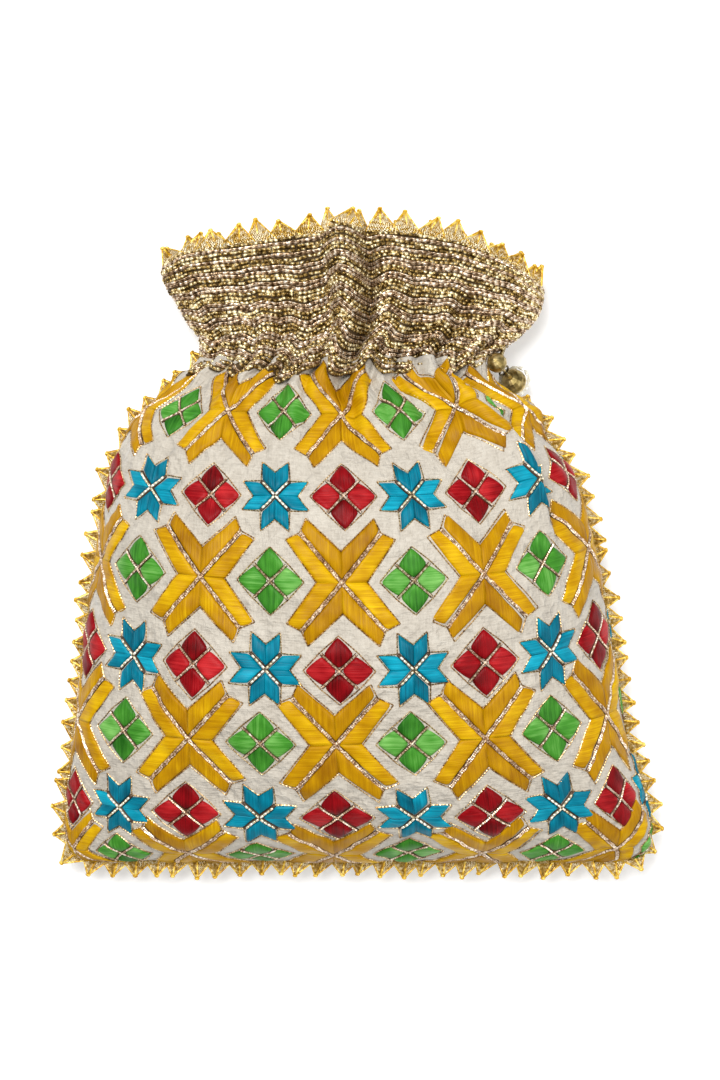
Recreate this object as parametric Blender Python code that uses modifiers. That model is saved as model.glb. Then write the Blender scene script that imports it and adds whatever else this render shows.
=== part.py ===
# A gathered potli bag of embroidered cloth, lying on its back: stuffed body, beaded collar, drawstring,
# zigzag ribbon trim and a bead pendant. Metres, +Z up. The mouth points along +Y and the front faces +Z.
# The origin is under the middle of the bag, on the surface that it lies on.
import math

import bmesh
import bpy
import numpy as np
from mathutils import Matrix, Vector
from mathutils.geometry import delaunay_2d_cdt

# The body in plan and in height, from the base seam to the neck. At each station along Y: how far the seam
# lies to the left and right of the origin, then the heights of the front's crown, the seam and the back.
BODY_STATIONS = (
    (-0.1205, 0.0980, 0.1000, 0.0140, 0.0140, 0.0140),
    (-0.1188, 0.1045, 0.1065, 0.0215, 0.0142, 0.0085),
    (-0.1130, 0.1090, 0.1118, 0.0345, 0.0145, 0.0020),
    (-0.1065, 0.1098, 0.1122, 0.0430, 0.0150, 0.0000),
    (-0.0980, 0.1092, 0.1105, 0.0500, 0.0150, 0.0000),
    (-0.0717, 0.1062, 0.1028, 0.0625, 0.0160, 0.0000),
    (-0.0400, 0.1028, 0.0978, 0.0695, 0.0160, 0.0000),
    (-0.0070, 0.0984, 0.0914, 0.0705, 0.0160, 0.0000),
    (0.0240, 0.0930, 0.0832, 0.0625, 0.0170, 0.0000),
    (0.0384, 0.0872, 0.0738, 0.0535, 0.0185, 0.0008),
    (0.0495, 0.0800, 0.0665, 0.0455, 0.0200, 0.0028),
    (0.0545, 0.0740, 0.0575, 0.0420, 0.0208, 0.0045),
    (0.0600, 0.0680, 0.0510, 0.0390, 0.0216, 0.0065),
    (0.0650, 0.0610, 0.0488, 0.0368, 0.0220, 0.0078),
    (0.0690, 0.0580, 0.0480, 0.0360, 0.0220, 0.0080),
)
# The collar, by its share of the way from the neck to the mouth: left, right, front, seam and back.
COLLAR_STATIONS = (
    (0.00, 0.0580, 0.0480, 0.0360, 0.0220, 0.0080),
    (0.20, 0.0580, 0.0570, 0.0352, 0.0208, 0.0066),
    (0.40, 0.0630, 0.0640, 0.0345, 0.0196, 0.0052),
    (0.60, 0.0672, 0.0688, 0.0335, 0.0184, 0.0042),
    (0.80, 0.0715, 0.0707, 0.0320, 0.0172, 0.0034),
    (1.00, 0.0728, 0.0712, 0.0300, 0.0160, 0.0030),
)
NECK_Y = 0.0690  # where the body is sewn to the collar
MOUTH_Y = 0.1200  # the mouth's edge at its middle
NECK_ROUND = 0.230  # once round the neck
MOUTH_DIP = (0.0130, 0.0205)  # how much further back the mouth's left and right ends lie
BAG_MIDDLE = (0.0012, 0.0008)  # the middle of the finished bag, in the coordinates of the tables above
JOIN_GAP = 0.0003  # clearance between pieces that are sewn or rest together

PANEL_WALL = 0.0012  # embroidered cloth with its backing
COLLAR_WALL = 0.0018  # cloth and the beads sewn on it
LINING_WALL = 0.0007
LINING_SLACK = 0.0028  # how far the lining hangs inside the body's wall
LINING_HEM = 0.0140  # cloth of the front that runs on below the lining's base
CASING_ROOM = 0.0040  # channel for the drawstring between collar and lining

GATHERS = 16  # folds round the neck
GATHER_DEPTH = 0.0030  # how far a fold stands out at the neck
GATHER_REACH = 0.0150  # how far down the body the folds run
SIDE_LIFT = (0.0110, 0.0170)  # how much the cloth's cross lines rise towards the left and right seams

# The embroidery, in the cloth's own flat measure.
COLUMNS_AT_BASE = 4.8  # columns of motifs from the middle of the panel to a side seam, at the base
COLUMNS_AT_NECK = 4.3  # and at the neck, where the panel is cut narrower
COLUMN_STEP = 0.0274  # from one column to the next, along a row
ROW_Y = (-0.1165, -0.1010, -0.0732, -0.0460, -0.0138, 0.0172, 0.0472)  # where each row crosses the crown
PATTERN_SHIFT = 0.29  # the pattern was cut off centre, in columns
PATTERN_SKEW = -0.068  # and a little askew, in columns for each row
PATCH_CLEAR = 0.0060  # the cloth's own mesh points keep this far from the stitching
STITCH_DEPTH = 0.0012  # how far the satin stitch stands out
STITCH_FADE = 0.0040  # it lies flat by the time it meets a seam
CROSS_ARM = (0.0150, 0.0172)  # where a cross's diagonal cord ends, across and along
CROSS_TIP_ALONG = (0.0132, 0.0229)  # outer corner of the chevrons that open along the bag
CROSS_TIP_ACROSS = (0.0206, 0.0150)  # outer corner of the chevrons that open across it
CROSS_NOTCH = (0.0094, 0.0112)  # inner corners of the chevrons, across and along
RED_REACH = (0.0108, 0.0110)  # half diagonals of a red diamond
GREEN_REACH = (0.0118, 0.0115)
STAR_SIDE = 0.0056  # where two petals part
STAR_TIP = (0.0050, 0.0122)
STAR_NOTCH = 0.0084

# The collar's beading: rounds of gold beads and of rose wire, sewn on by turns.
BEAD_ROUNDS = 10
BEAD_RISE = 0.0007

# The zigzag trim: a ribbon folded into points along the seam, and the same along the mouth.
SEAM_GAP = 0.0026  # between the edges of the front and the back, where the ribbon is caught
RIBBON_THICK = 0.0010
RIBBON_INSIDE = 0.0016  # how far it reaches in between front and back
RIBBON_OUTSIDE = 0.0010  # from the seam to the foot of the points
POINT_PITCH = 0.0086
POINT_REACH = 0.0066
POINT_LEAN = 0.0022  # how far a tip leans back along the ribbon
TRIM_TOP_Y = 0.0520  # the trim ends below the neck
MOUTH_POINT_PITCH = 0.0092
MOUTH_POINT_REACH = 0.0085

# The drawstring and what hangs from it.
DRAWSTRING_RADIUS = 0.0008
DRAWSTRING_CLEAR = 0.0009  # between the collar's inside and the drawstring
DRAWSTRING_Y = 0.0740
EXIT_WIDTH = 0.0060  # half width of the gap where the drawstring comes out
EXIT_SHARE = 0.008  # how far round from the right end each strand comes out
CORD_BEAD_RADIUS = 0.0038
CORD_BEAD_PLACE = (0.0535, 0.0685, 0.0270)
PENDANT_TURN = -42.0  # degrees, the way the pendant lies, from +X
PENDANT_DROP = 58.0  # degrees below level
WIRE_RADIUS = 0.00045
EYE_RADIUS = 0.0014
EYE_SINK = 0.0003  # how far an eye is sunk into the bead that carries it
RING_RADIUS = 0.0021
STEM_RADIUS = 0.0009
STEM_LENGTH = 0.0018
BELL_RADIUS = 0.0050
BELL_LENGTH = 0.0096
BAND_RADIUS = 0.0008  # the small beads round the bell
BAND_BEADS = 12

CLOTH_COLOUR = (0.62, 0.57, 0.49)
YELLOW_SILK = (0.78, 0.50, 0.01)
GREEN_SILK = (0.07, 0.40, 0.07)
RED_SILK = (0.47, 0.01, 0.02)
BLUE_SILK = (0.01, 0.33, 0.50)
BEAD_GOLD = (0.42, 0.32, 0.18)
ROSE_WIRE = (0.50, 0.34, 0.24)
RIBBON_GOLD = (0.72, 0.48, 0.08)
LINING_TAN = (0.45, 0.36, 0.26)
ANTIQUE_GOLD = (0.30, 0.23, 0.11)


def clear_scene():
    for old in list(bpy.data.objects):
        bpy.data.objects.remove(old)


def material(name, colour, roughness, metallic=0.0):
    made = bpy.data.materials.new(name)
    made.use_nodes = True
    shader = made.node_tree.nodes["Principled BSDF"]
    shader.inputs["Base Color"].default_value = (*colour, 1.0)
    shader.inputs["Roughness"].default_value = roughness
    shader.inputs["Metallic"].default_value = metallic
    return made


def smooth_curve(stations, column):
    # A smooth curve through one column of a table of stations, with no overshoot between them.
    at = np.array([row[0] for row in stations])
    value = np.array([row[column] for row in stations])
    step = np.diff(at)
    rise = np.diff(value) / step
    slope = np.zeros(len(at))
    same_way = rise[:-1] * rise[1:] > 0
    mean = 2 * rise[:-1] * rise[1:] / np.where(same_way, rise[:-1] + rise[1:], 1.0)
    slope[1:-1] = np.where(same_way, mean, 0.0)
    slope[0], slope[-1] = rise[0], rise[-1]

    def read(x):
        x = min(max(x, at[0]), at[-1])
        i = min(int(np.searchsorted(at, x, side="right")) - 1, len(step) - 1)
        t = (x - at[i]) / step[i]
        from_start = (1 + 2 * t) * (1 - t) ** 2 * value[i] + t * (1 - t) ** 2 * step[i] * slope[i]
        from_end = t * t * (3 - 2 * t) * value[i + 1] - t * t * (1 - t) * step[i] * slope[i + 1]
        return float(from_start + from_end)

    return read


def even_angle(ratio):
    # Turns a share of a half ellipse's arc, -1 to 1, into its angle. ratio is its depth over its half width.
    angles = np.linspace(-math.pi / 2, math.pi / 2, 721)
    middle = (angles[:-1] + angles[1:]) / 2
    arc = np.concatenate([[0.0], np.cumsum(np.hypot(np.cos(middle), ratio * np.sin(middle)))])
    share = 2 * arc / arc[-1] - 1
    return lambda f: float(np.interp(f, share, angles))


body = [None] + [smooth_curve(BODY_STATIONS, column) for column in range(1, 6)]
collar = [None] + [smooth_curve(COLLAR_STATIONS, column) for column in range(1, 6)]
LEFT, RIGHT, FRONT, SEAM, BACK = range(1, 6)
BASE_Y = BODY_STATIONS[0][0]
panel_angle = even_angle(0.53)
neck_angle = even_angle(0.27)


def crown_line():
    # Arc length along the front's middle line, from the base seam to the neck, with the Y of each point.
    ys = np.linspace(BASE_Y, NECK_Y, 600)
    zs = np.array([body[FRONT](y) for y in ys])
    arc = np.concatenate([[0.0], np.cumsum(np.hypot(np.diff(ys), np.diff(zs)))])
    return arc, ys


CROWN_ARC, CROWN_Y = crown_line()
PANEL_LENGTH = float(CROWN_ARC[-1])


def columns_to_seam(along):
    # Half the panel's width at this height, in columns.
    return COLUMNS_AT_BASE + (COLUMNS_AT_NECK - COLUMNS_AT_BASE) * along / PANEL_LENGTH


def gather(share_round, depth):
    # How far the wall stands out in the folds, by the share of the way round the neck.
    return depth * (0.5 - 0.5 * math.cos(2 * math.pi * GATHERS * share_round))


def plan_of(column, along):
    # Where a point of the cloth lies in plan: column in columns from the middle, along in metres of cloth.
    share = along / PANEL_LENGTH
    side = column / columns_to_seam(along)
    lift = SIDE_LIFT[column > 0] * math.sin(math.pi * min(max(share, 0.0), 1.0)) * side**2
    y = float(np.interp(along, CROWN_ARC, CROWN_Y)) + lift
    return y, side, panel_angle(side)


def body_point(column, along, front=True, inset=0.0, folded=True):
    # A point on the body's front or back, moved in from the outer surface by inset.
    y, side, angle = plan_of(column, along)
    left, right, seam = body[LEFT](y), body[RIGHT](y), body[SEAM](y)
    half = (left + right) / 2 - inset
    x = (right - left) / 2 + half * math.sin(angle)
    fold_share = max(0.0, 1 - (PANEL_LENGTH - along) / GATHER_REACH) ** 2 if folded else 0.0
    if front:
        fold = gather(0.25 + side / 4, GATHER_DEPTH * fold_share)
        crown = max(body[FRONT](y) - seam - inset + fold, 0.0)
        z = seam + SEAM_GAP / 2 + crown * math.cos(angle)
    else:
        fold = gather(0.75 - side / 4, GATHER_DEPTH * fold_share)
        sag = max(seam - SEAM_GAP / 2 - body[BACK](y) - inset + fold, 0.0)
        flat = math.sqrt(max(0.0, 1 - abs(math.sin(angle)) ** 5))
        z = max(seam - SEAM_GAP / 2 - sag * min(1.0, flat * 1.06), inset)
    return Vector((x, y, z))


def mouth_y(angle):
    return MOUTH_Y - MOUTH_DIP[angle > 0] * math.sin(angle) ** 2


def collar_turn(share_round):
    # Whether this is the front, the angle from its middle line and the height of the mouth there.
    half_turn = share_round % 1.0
    over_front = half_turn <= 0.5
    local = 4 * half_turn - 1 if over_front else 4 * half_turn - 3
    angle = neck_angle(local)
    return over_front, angle, mouth_y(angle if over_front else -angle)


def collar_point(share_round, up, inset=0.0, folded=True, start=0.0):
    # A point on the collar. share_round runs from the left end over the front to the right end, then back.
    over_front, angle, top = collar_turn(share_round)
    y = NECK_Y + JOIN_GAP + start + up * (top - NECK_Y - JOIN_GAP - start)
    level = min(max((y - NECK_Y) / (top - NECK_Y), 0.0), 1.0)
    left, right, seam = collar[LEFT](level), collar[RIGHT](level), collar[SEAM](level)
    depth = collar[FRONT](level) - seam if over_front else seam - collar[BACK](level)
    fold = gather(share_round, GATHER_DEPTH * (1 - level) ** 1.5) if folded else 0.0
    half = (left + right) / 2 - inset
    turn = 1 if over_front else -1
    normal = Vector(((depth - inset) * math.sin(angle), half * math.cos(angle))).normalized()
    x = (right - left) / 2 + half * math.sin(angle) * turn + fold * normal.x * turn
    z = seam + ((depth - inset) * math.cos(angle) + fold * normal.y) * turn
    return Vector((x, y, max(z, inset)))


def exit_lift(share_round):
    # The collar's lower edge lifts at the right end, where the drawstring comes out.
    lift = DRAWSTRING_Y + DRAWSTRING_RADIUS + JOIN_GAP - NECK_Y
    away = (share_round - 0.5) * NECK_ROUND / EXIT_WIDTH
    return lift * math.exp(-(away**4))


def finish_object(name, mesh, collection, paint, smooth=40.0):
    if smooth:
        mesh.shade_smooth()
        mesh.set_sharp_from_angle(angle=math.radians(smooth))
    made = bpy.data.objects.new(name, mesh)
    made.data.materials.append(paint)
    collection.objects.link(made)
    return made


def sheet(name, columns, rows, place, collection, paint, wall, closed=False):
    # A grid of cloth laid out by place(across, along), both 0 to 1, then given its thickness inwards.
    mesh = bpy.data.meshes.new(name)
    bm = bmesh.new()
    bmesh.ops.create_grid(bm, x_segments=columns, y_segments=rows, size=0.5)
    for vertex in bm.verts:
        vertex.co = place(vertex.co.x + 0.5, vertex.co.y + 0.5)
    if closed:
        bmesh.ops.remove_doubles(bm, verts=bm.verts, dist=0.00002)
    bm.to_mesh(mesh)
    bm.free()
    made = finish_object(name, mesh, collection, paint)
    thicken = made.modifiers.new("wall", "SOLIDIFY")
    thicken.thickness = wall
    thicken.offset = -1.0
    return made


def spread(t, crowding):
    # Steps from 0 to 1 that crowd towards both ends.
    return t - crowding * math.sin(2 * math.pi * t) / (2 * math.pi)


def body_normal(column, along):
    # The way out of the cloth at a point of the front.
    limit = columns_to_seam(along)
    low, high = max(column - 0.1, -limit), min(column + 0.1, limit)
    near, far = max(along - 0.0008, 0.0), min(along + 0.0008, PANEL_LENGTH)
    across = body_point(high, along) - body_point(low, along)
    lengthwise = body_point(column, far) - body_point(column, near)
    return across.cross(lengthwise).normalized()


def front_outline():
    # The cut edge of the front, in the cloth's flat measure: base, right side, neck, left side.
    top = PANEL_LENGTH - JOIN_GAP / 2
    wide, narrow = columns_to_seam(0.0) * COLUMN_STEP, columns_to_seam(top) * COLUMN_STEP
    along = [spread(k / 15, 0.5) * top for k in range(15)]
    base = [((2 * k / 24 - 1) * wide, 0.0) for k in range(24)]
    right = [(columns_to_seam(y) * COLUMN_STEP, y) for y in along]
    neck = [((1 - 2 * k / 32) * narrow, top) for k in range(32)]
    left = [(-columns_to_seam(top - y) * COLUMN_STEP, top - y) for y in along]
    return base + right + neck + left


def lay_flat(outline, patches, loose):
    # Cuts the flat cloth into triangles along its outline and the edges of the patches.
    points, faces = list(outline), [list(range(len(outline)))]
    for patch in patches:
        faces.append(list(range(len(points), len(points) + len(patch))))
        points += patch
    points += loose
    verts, _, tris, _, _, owners = delaunay_2d_cdt([Vector(p) for p in points], [], faces, 1, 1e-6)
    inside = [(tri, max(own)) for tri, own in zip(tris, owners) if 0 in own]
    return verts, inside


def clear_lattice(columns, rows, patches):
    # Points of a lattice on the flat front that keep clear of its edges and of every patch corner.
    taken = [Vector(p) for patch in patches for p in patch]
    found = []
    for i in range(1, columns):
        for j in range(1, rows):
            along = spread(j / rows, 0.6) * PANEL_LENGTH
            point = Vector(((2 * i / columns - 1) * columns_to_seam(along) * COLUMN_STEP, along))
            if all((point - other).length > PATCH_CLEAR for other in taken):
                found.append(tuple(point))
    return found


def stitch_height(flat, raised):
    if (round(flat.x, 6), round(flat.y, 6)) not in raised:
        return 0.0
    side = columns_to_seam(flat.y) * COLUMN_STEP
    margin = min(side - abs(flat.x), flat.y, PANEL_LENGTH - flat.y)
    return STITCH_DEPTH * min(1.0, max(margin, 0.0) / STITCH_FADE)


def make_front_panel(collection, cloth, silks):
    # One piece of cloth with its satin stitching, cut flat and then wrapped round the bag's form.
    patches, kinds, raised = [], [], set()
    for kind, (name, pieces) in enumerate(motifs().items(), start=1):
        for column, along in motif_places(name):
            middle = Vector((column * COLUMN_STEP, along))
            for patch in pieces:
                corners = [middle + Vector(corner[:2]) for corner in patch]
                patches.append([tuple(c) for c in corners])
                kinds.append(kind)
                raised |= {(round(c.x, 6), round(c.y, 6)) for c, p in zip(corners, patch) if p[2]}
    verts, tris = lay_flat(front_outline(), patches, clear_lattice(16, 12, patches))

    bm = bmesh.new()
    used = sorted({k for tri, _ in tris for k in tri})
    outer = {}
    for k in used:
        column, along = verts[k].x / COLUMN_STEP, verts[k].y
        lift = body_normal(column, along) * stitch_height(verts[k], raised)
        outer[k] = bm.verts.new(body_point(column, along) + lift)
    for tri, owner in tris:
        face = bm.faces.new([outer[k] for k in tri])
        face.material_index = kinds[owner - 1] if owner else 0
    rim = boundary_loop(tris)
    inner_verts, inner_tris = lay_flat([tuple(verts[k]) for k in rim], [], clear_lattice(14, 10, []))
    inner = []
    for flat in inner_verts:
        column, along = flat.x / COLUMN_STEP, flat.y
        way = body_normal(column, along)
        if abs(column) > columns_to_seam(along) - 0.001 or along < 1e-6:
            way = Vector((way.x, way.y, 0.0)).normalized()
        inner.append(bm.verts.new(body_point(column, along) - way * PANEL_WALL))
    for tri, _ in inner_tris:
        bm.faces.new([inner[k] for k in tri])
    nearest = {k: min(range(len(inner)), key=lambda n: (inner_verts[n] - verts[k]).length) for k in rim}
    for a, b in zip(rim, rim[1:] + rim[:1]):
        bm.faces.new((outer[a], outer[b], inner[nearest[b]], inner[nearest[a]]))
    bmesh.ops.recalc_face_normals(bm, faces=bm.faces)
    mesh = bpy.data.meshes.new("front_panel")
    bm.to_mesh(mesh)
    bm.free()
    made = finish_object("front_panel", mesh, collection, cloth, smooth=None)
    for silk in silks:
        made.data.materials.append(silk)


def boundary_loop(tris):
    # The vertices round the edge of a flat triangulated sheet, in order.
    edges = {}
    for tri, _ in tris:
        for a, b in zip(tri, tri[1:] + tri[:1]):
            edges[(a, b)] = True
    follow = {a: b for a, b in edges if (b, a) not in edges}
    loop = [next(iter(follow))]
    while follow[loop[-1]] != loop[0]:
        loop.append(follow[loop[-1]])
    return loop


def make_back_panel(collection, paint):
    def back(across, along):
        along = spread(along, 0.6) * (PANEL_LENGTH - JOIN_GAP / 2)
        return body_point((1 - 2 * across) * columns_to_seam(along), along, front=False)

    sheet("back_panel", 32, 12, back, collection, paint, PANEL_WALL)


def closed_sheet(name, around_steps, section_steps, place, collection, paint, smooth=40.0):
    # A ring whose section is closed too: place(around, section), both 0 to 1 and both coming full circle.
    mesh = bpy.data.meshes.new(name)
    bm = bmesh.new()
    bmesh.ops.create_grid(bm, x_segments=around_steps, y_segments=section_steps, size=0.5)
    for vertex in bm.verts:
        vertex.co = place(vertex.co.x + 0.5, vertex.co.y + 0.5)
    bmesh.ops.remove_doubles(bm, verts=bm.verts, dist=0.00002)
    bmesh.ops.recalc_face_normals(bm, faces=bm.faces)
    bm.to_mesh(mesh)
    bm.free()
    return finish_object(name, mesh, collection, paint, smooth)


def make_collar(collection, beads, wire):
    # Up the outside over the rounds of beading, round the mouth's edge and down the inside.
    outside = 2 * BEAD_ROUNDS
    inside = 3
    steps = outside + inside + 1

    def place(around, section):
        k = round(section * steps) % steps
        start = exit_lift(around % 1.0)
        if k <= outside:
            rise = BEAD_RISE if k % 2 else 0.0
            return collar_point(around, k / outside, inset=BEAD_RISE - rise, start=start)
        up = 1 - (k - outside - 1) / inside
        return collar_point(around, up, inset=COLLAR_WALL, start=start)

    made = closed_sheet("beaded_collar", 64, steps, place, collection, beads, smooth=None)
    made.data.materials.append(wire)
    for face in made.data.polygons:
        level = (face.center.y - NECK_Y) / (MOUTH_Y - NECK_Y)
        face.material_index = int(level * BEAD_ROUNDS) % 2


def make_lining(collection, paint):
    # One bag inside the other: closed along the base, up through the neck and out to the mouth.
    body_inset = PANEL_WALL + LINING_SLACK
    collar_inset = COLLAR_WALL + CASING_ROOM
    share_in_body = 12 / 18  # of the lining's rows of faces

    def place(across, up):
        local = 4 * (across % 1.0) - 1 if across % 1.0 <= 0.5 else 4 * (across % 1.0) - 3
        over_front = across % 1.0 <= 0.5
        if up <= share_in_body:
            t = spread(up / share_in_body, 0.5)
            along = LINING_HEM + t * (PANEL_LENGTH - LINING_HEM)
            column = (local if over_front else -local) * columns_to_seam(along)
            inset = body_inset + (collar_inset - body_inset) * t**3
            point = body_point(column, along, front=over_front, inset=inset, folded=False)
            if up == 0.0:
                point.z = body[SEAM](point.y)
            return point
        t = (up - share_in_body) / (1 - share_in_body)
        return collar_point(across, t, inset=collar_inset, folded=False)

    sheet("lining", 28, 18, place, collection, paint, LINING_WALL, closed=True)


def mirrored(patch, x, y):
    return [(px * x, py * y, up) for px, py, up in patch]


def cross_pieces():
    # The four chevrons of one cross, as patches of (across, along, stands out).
    end_x, end_y = CROSS_ARM
    pieces = []
    for tip, notch in ((CROSS_TIP_ALONG, (0.0, CROSS_NOTCH[1])), (CROSS_TIP_ACROSS, (CROSS_NOTCH[0], 0.0))):
        middle = (end_x / 2, end_y / 2)
        waist = ((notch[0] + tip[0]) / 2, (notch[1] + tip[1]) / 2)
        ridge_foot = (notch[0] / 2, notch[1] / 2)
        ridge_middle = ((middle[0] + waist[0]) / 2, (middle[1] + waist[1]) / 2)
        ridge_end = tuple(0.45 * (e + t) + 0.10 * r for e, t, r in zip(CROSS_ARM, tip, ridge_middle))
        centre, end = (0.0, 0.0, False), (end_x, end_y, False)
        middle, waist, notch, tip = (*middle, False), (*waist, False), (*notch, False), (*tip, False)
        foot, ridge, last = (*ridge_foot, True), (*ridge_middle, True), (*ridge_end, True)
        arm = [
            [centre, middle, ridge, foot], [middle, end, last, ridge], [end, tip, last],
            [tip, waist, ridge, last], [waist, notch, foot, ridge],
        ]
        for x, y in ((1, 1), (-1, 1), (1, -1), (-1, -1)):
            pieces += [mirrored(patch, x, y) for patch in arm]
    return pieces


def diamond_pieces(reach):
    # The four puffed blocks of one diamond, each a pyramid of four patches.
    rx, ry = reach
    pieces = []
    for ux, uy in ((1, 0), (0, 1), (-1, 0), (0, -1)):
        x, y = ux * rx / 2, uy * ry / 2
        corners = [(x + rx / 2, y), (x, y + ry / 2), (x - rx / 2, y), (x, y - ry / 2)]
        for a, b in zip(corners, corners[1:] + corners[:1]):
            pieces.append([(*a, False), (*b, False), (x, y, True)])
    return pieces


def star_pieces():
    # The four forked petals of one star, each a fan of patches about the point that stands out most.
    tip_x, tip_y = STAR_TIP
    outline = [(0.0, 0.0), (STAR_SIDE, STAR_SIDE), (tip_x, tip_y), (0.0, STAR_NOTCH), (-tip_x, tip_y),
               (-STAR_SIDE, STAR_SIDE)]
    crest = (0.0, STAR_SIDE)
    pieces = []
    for quarter in range(4):
        c, s = ((1, 0), (0, 1), (-1, 0), (0, -1))[quarter]
        for a, b in zip(outline, outline[1:] + outline[:1]):
            patch = [(*a, False), (*b, False), (*crest, True)]
            pieces.append([(x * c - y * s, x * s + y * c, up) for x, y, up in patch])
    return pieces


def motifs():
    return {
        "cross": cross_pieces(),
        "green": diamond_pieces(GREEN_REACH),
        "red": diamond_pieces(RED_REACH),
        "star": star_pieces(),
    }


def motif_places(kind):
    # Middles of the motifs of one kind, in columns and in metres of cloth from the base seam.
    for row, crown_y in enumerate(ROW_Y):
        for column in range(-5, 6):
            wanted = {
                "cross": row % 2 == 0 and column % 2 == 0,
                "green": row % 2 == 0 and column % 2 == 1,
                "red": row % 2 == 1 and column % 2 == 0,
                "star": row % 2 == 1 and column % 2 == 1,
            }[kind]
            if wanted:
                along = float(np.interp(crown_y, CROWN_Y, CROWN_ARC))
                yield column - PATTERN_SHIFT - PATTERN_SKEW * row, along


def seam_line(spacing):
    # Points along the seam at an even spacing: down the left side, along the base, up the right side.
    ys = np.linspace(TRIM_TOP_Y, BASE_Y, 260)
    left = [Vector((-body[LEFT](y), y, body[SEAM](y))) for y in ys]
    right = [Vector((body[RIGHT](y), y, body[SEAM](y))) for y in ys[::-1]]
    path = left + right
    arc = np.concatenate([[0.0], np.cumsum([(b - a).length for a, b in zip(path, path[1:])])])
    count = int(round(arc[-1] / spacing))
    at = np.linspace(0.0, arc[-1], count + 1)
    axes = [np.interp(at, arc, [p[k] for p in path]) for k in range(3)]
    return [Vector(p) for p in zip(*axes)]


def make_seam_trim(collection, paint):
    # The ribbon is caught between front and back, and folded into a point at each pitch along the seam.
    feet = seam_line(POINT_PITCH)
    bm = bmesh.new()
    inner, outer = [], []
    for i, foot in enumerate(feet):
        forward = (feet[min(i + 1, len(feet) - 1)] - feet[max(i - 1, 0)]).normalized()
        out = forward.cross(Vector((0, 0, 1))).normalized()
        inner.append(bm.verts.new(foot - out * RIBBON_INSIDE))
        outer.append(bm.verts.new(foot + out * RIBBON_OUTSIDE))
    for i in range(len(feet) - 1):
        bm.faces.new((inner[i], outer[i], outer[i + 1], inner[i + 1]))
        forward = (outer[i + 1].co - outer[i].co).normalized()
        out = forward.cross(Vector((0, 0, 1))).normalized()
        tip = (outer[i].co + outer[i + 1].co) / 2 + out * POINT_REACH - forward * POINT_LEAN
        bm.faces.new((outer[i], bm.verts.new(tip), outer[i + 1]))
    ribbon("seam_trim", bm, collection, paint)


def make_mouth_trim(collection, paint):
    # The same ribbon, sewn edge to edge to the collar's upper rim.
    fine = 400
    rim = [collar_point(k / fine, 1.0, inset=COLLAR_WALL / 2) for k in range(fine + 1)]
    arc = np.concatenate([[0.0], np.cumsum([(b - a).length for a, b in zip(rim, rim[1:])])])
    count = int(round(arc[-1] / MOUTH_POINT_PITCH))
    shares = np.interp(np.arange(count) * arc[-1] / count, arc, np.arange(fine + 1) / fine)
    bm = bmesh.new()
    inner, outer, ways = [], [], []
    for share in shares:
        foot = collar_point(share, 1.0, inset=COLLAR_WALL / 2)
        way = (foot - collar_point(share, 0.92, inset=COLLAR_WALL / 2)).normalized()
        inner.append(bm.verts.new(foot + way * JOIN_GAP))
        outer.append(bm.verts.new(foot + way * (JOIN_GAP + RIBBON_OUTSIDE)))
        ways.append(way)
    for i in range(count):
        j = (i + 1) % count
        bm.faces.new((inner[i], outer[i], outer[j], inner[j]))
        forward = (outer[j].co - outer[i].co).normalized()
        tip = (outer[i].co + outer[j].co) / 2 + (ways[i] + ways[j]) / 2 * MOUTH_POINT_REACH - forward * POINT_LEAN
        bm.faces.new((outer[i], bm.verts.new(tip), outer[j]))
    ribbon("mouth_trim", bm, collection, paint)


def ribbon(name, bm, collection, paint):
    bmesh.ops.recalc_face_normals(bm, faces=bm.faces)
    mesh = bpy.data.meshes.new(name)
    bm.to_mesh(mesh)
    bm.free()
    made = finish_object(name, mesh, collection, paint, smooth=None)
    thicken = made.modifiers.new("ribbon", "SOLIDIFY")
    thicken.thickness = RIBBON_THICK
    thicken.offset = 0.0


def tube(name, points, radius, collection, paint, resolution, closed=False):
    curve = bpy.data.curves.new(name, "CURVE")
    curve.dimensions = "3D"
    curve.bevel_depth = radius
    curve.bevel_resolution = resolution
    curve.use_fill_caps = True
    spline = curve.splines.new("POLY")
    spline.points.add(len(points) - 1)
    for slot, point in zip(spline.points, points):
        slot.co = (*point, 1.0)
    spline.use_cyclic_u = closed
    made = bpy.data.objects.new(name, curve)
    made.data.materials.append(paint)
    collection.objects.link(made)
    return made


def make_drawstring(collection, paint):
    # Out of the bead, in under the collar's right end, once round the neck in its casing and out again.
    rise = DRAWSTRING_Y - NECK_Y
    inset = COLLAR_WALL + DRAWSTRING_CLEAR + DRAWSTRING_RADIUS
    steps = 66
    loop = []
    for k in range(steps + 1):
        share = 0.5 + EXIT_SHARE + (1 - 2 * EXIT_SHARE) * k / steps
        level = rise / (collar_turn(share)[2] - NECK_Y)
        point = collar_point(share, level, inset=inset, folded=False)
        loop.append(Vector((point.x, DRAWSTRING_Y, point.z)))
    bead = Vector(CORD_BEAD_PLACE)
    apart = Vector((0, 0, DRAWSTRING_RADIUS + JOIN_GAP / 2))
    level = rise / (mouth_y(math.pi / 2) - NECK_Y)
    gate = Vector((collar[RIGHT](level) + 0.001, DRAWSTRING_Y, collar[SEAM](level)))
    way = (gate - bead).normalized()
    near = bead + way * (CORD_BEAD_RADIUS + JOIN_GAP)
    outward = way.cross(Vector((1, 0, 0))).normalized() * apart.length
    if outward.z > 0:
        outward = -outward
    points = [near + outward, gate - apart] + loop + [gate + apart, near - outward]
    return tube("drawstring", points, DRAWSTRING_RADIUS, collection, paint, resolution=1)


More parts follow.
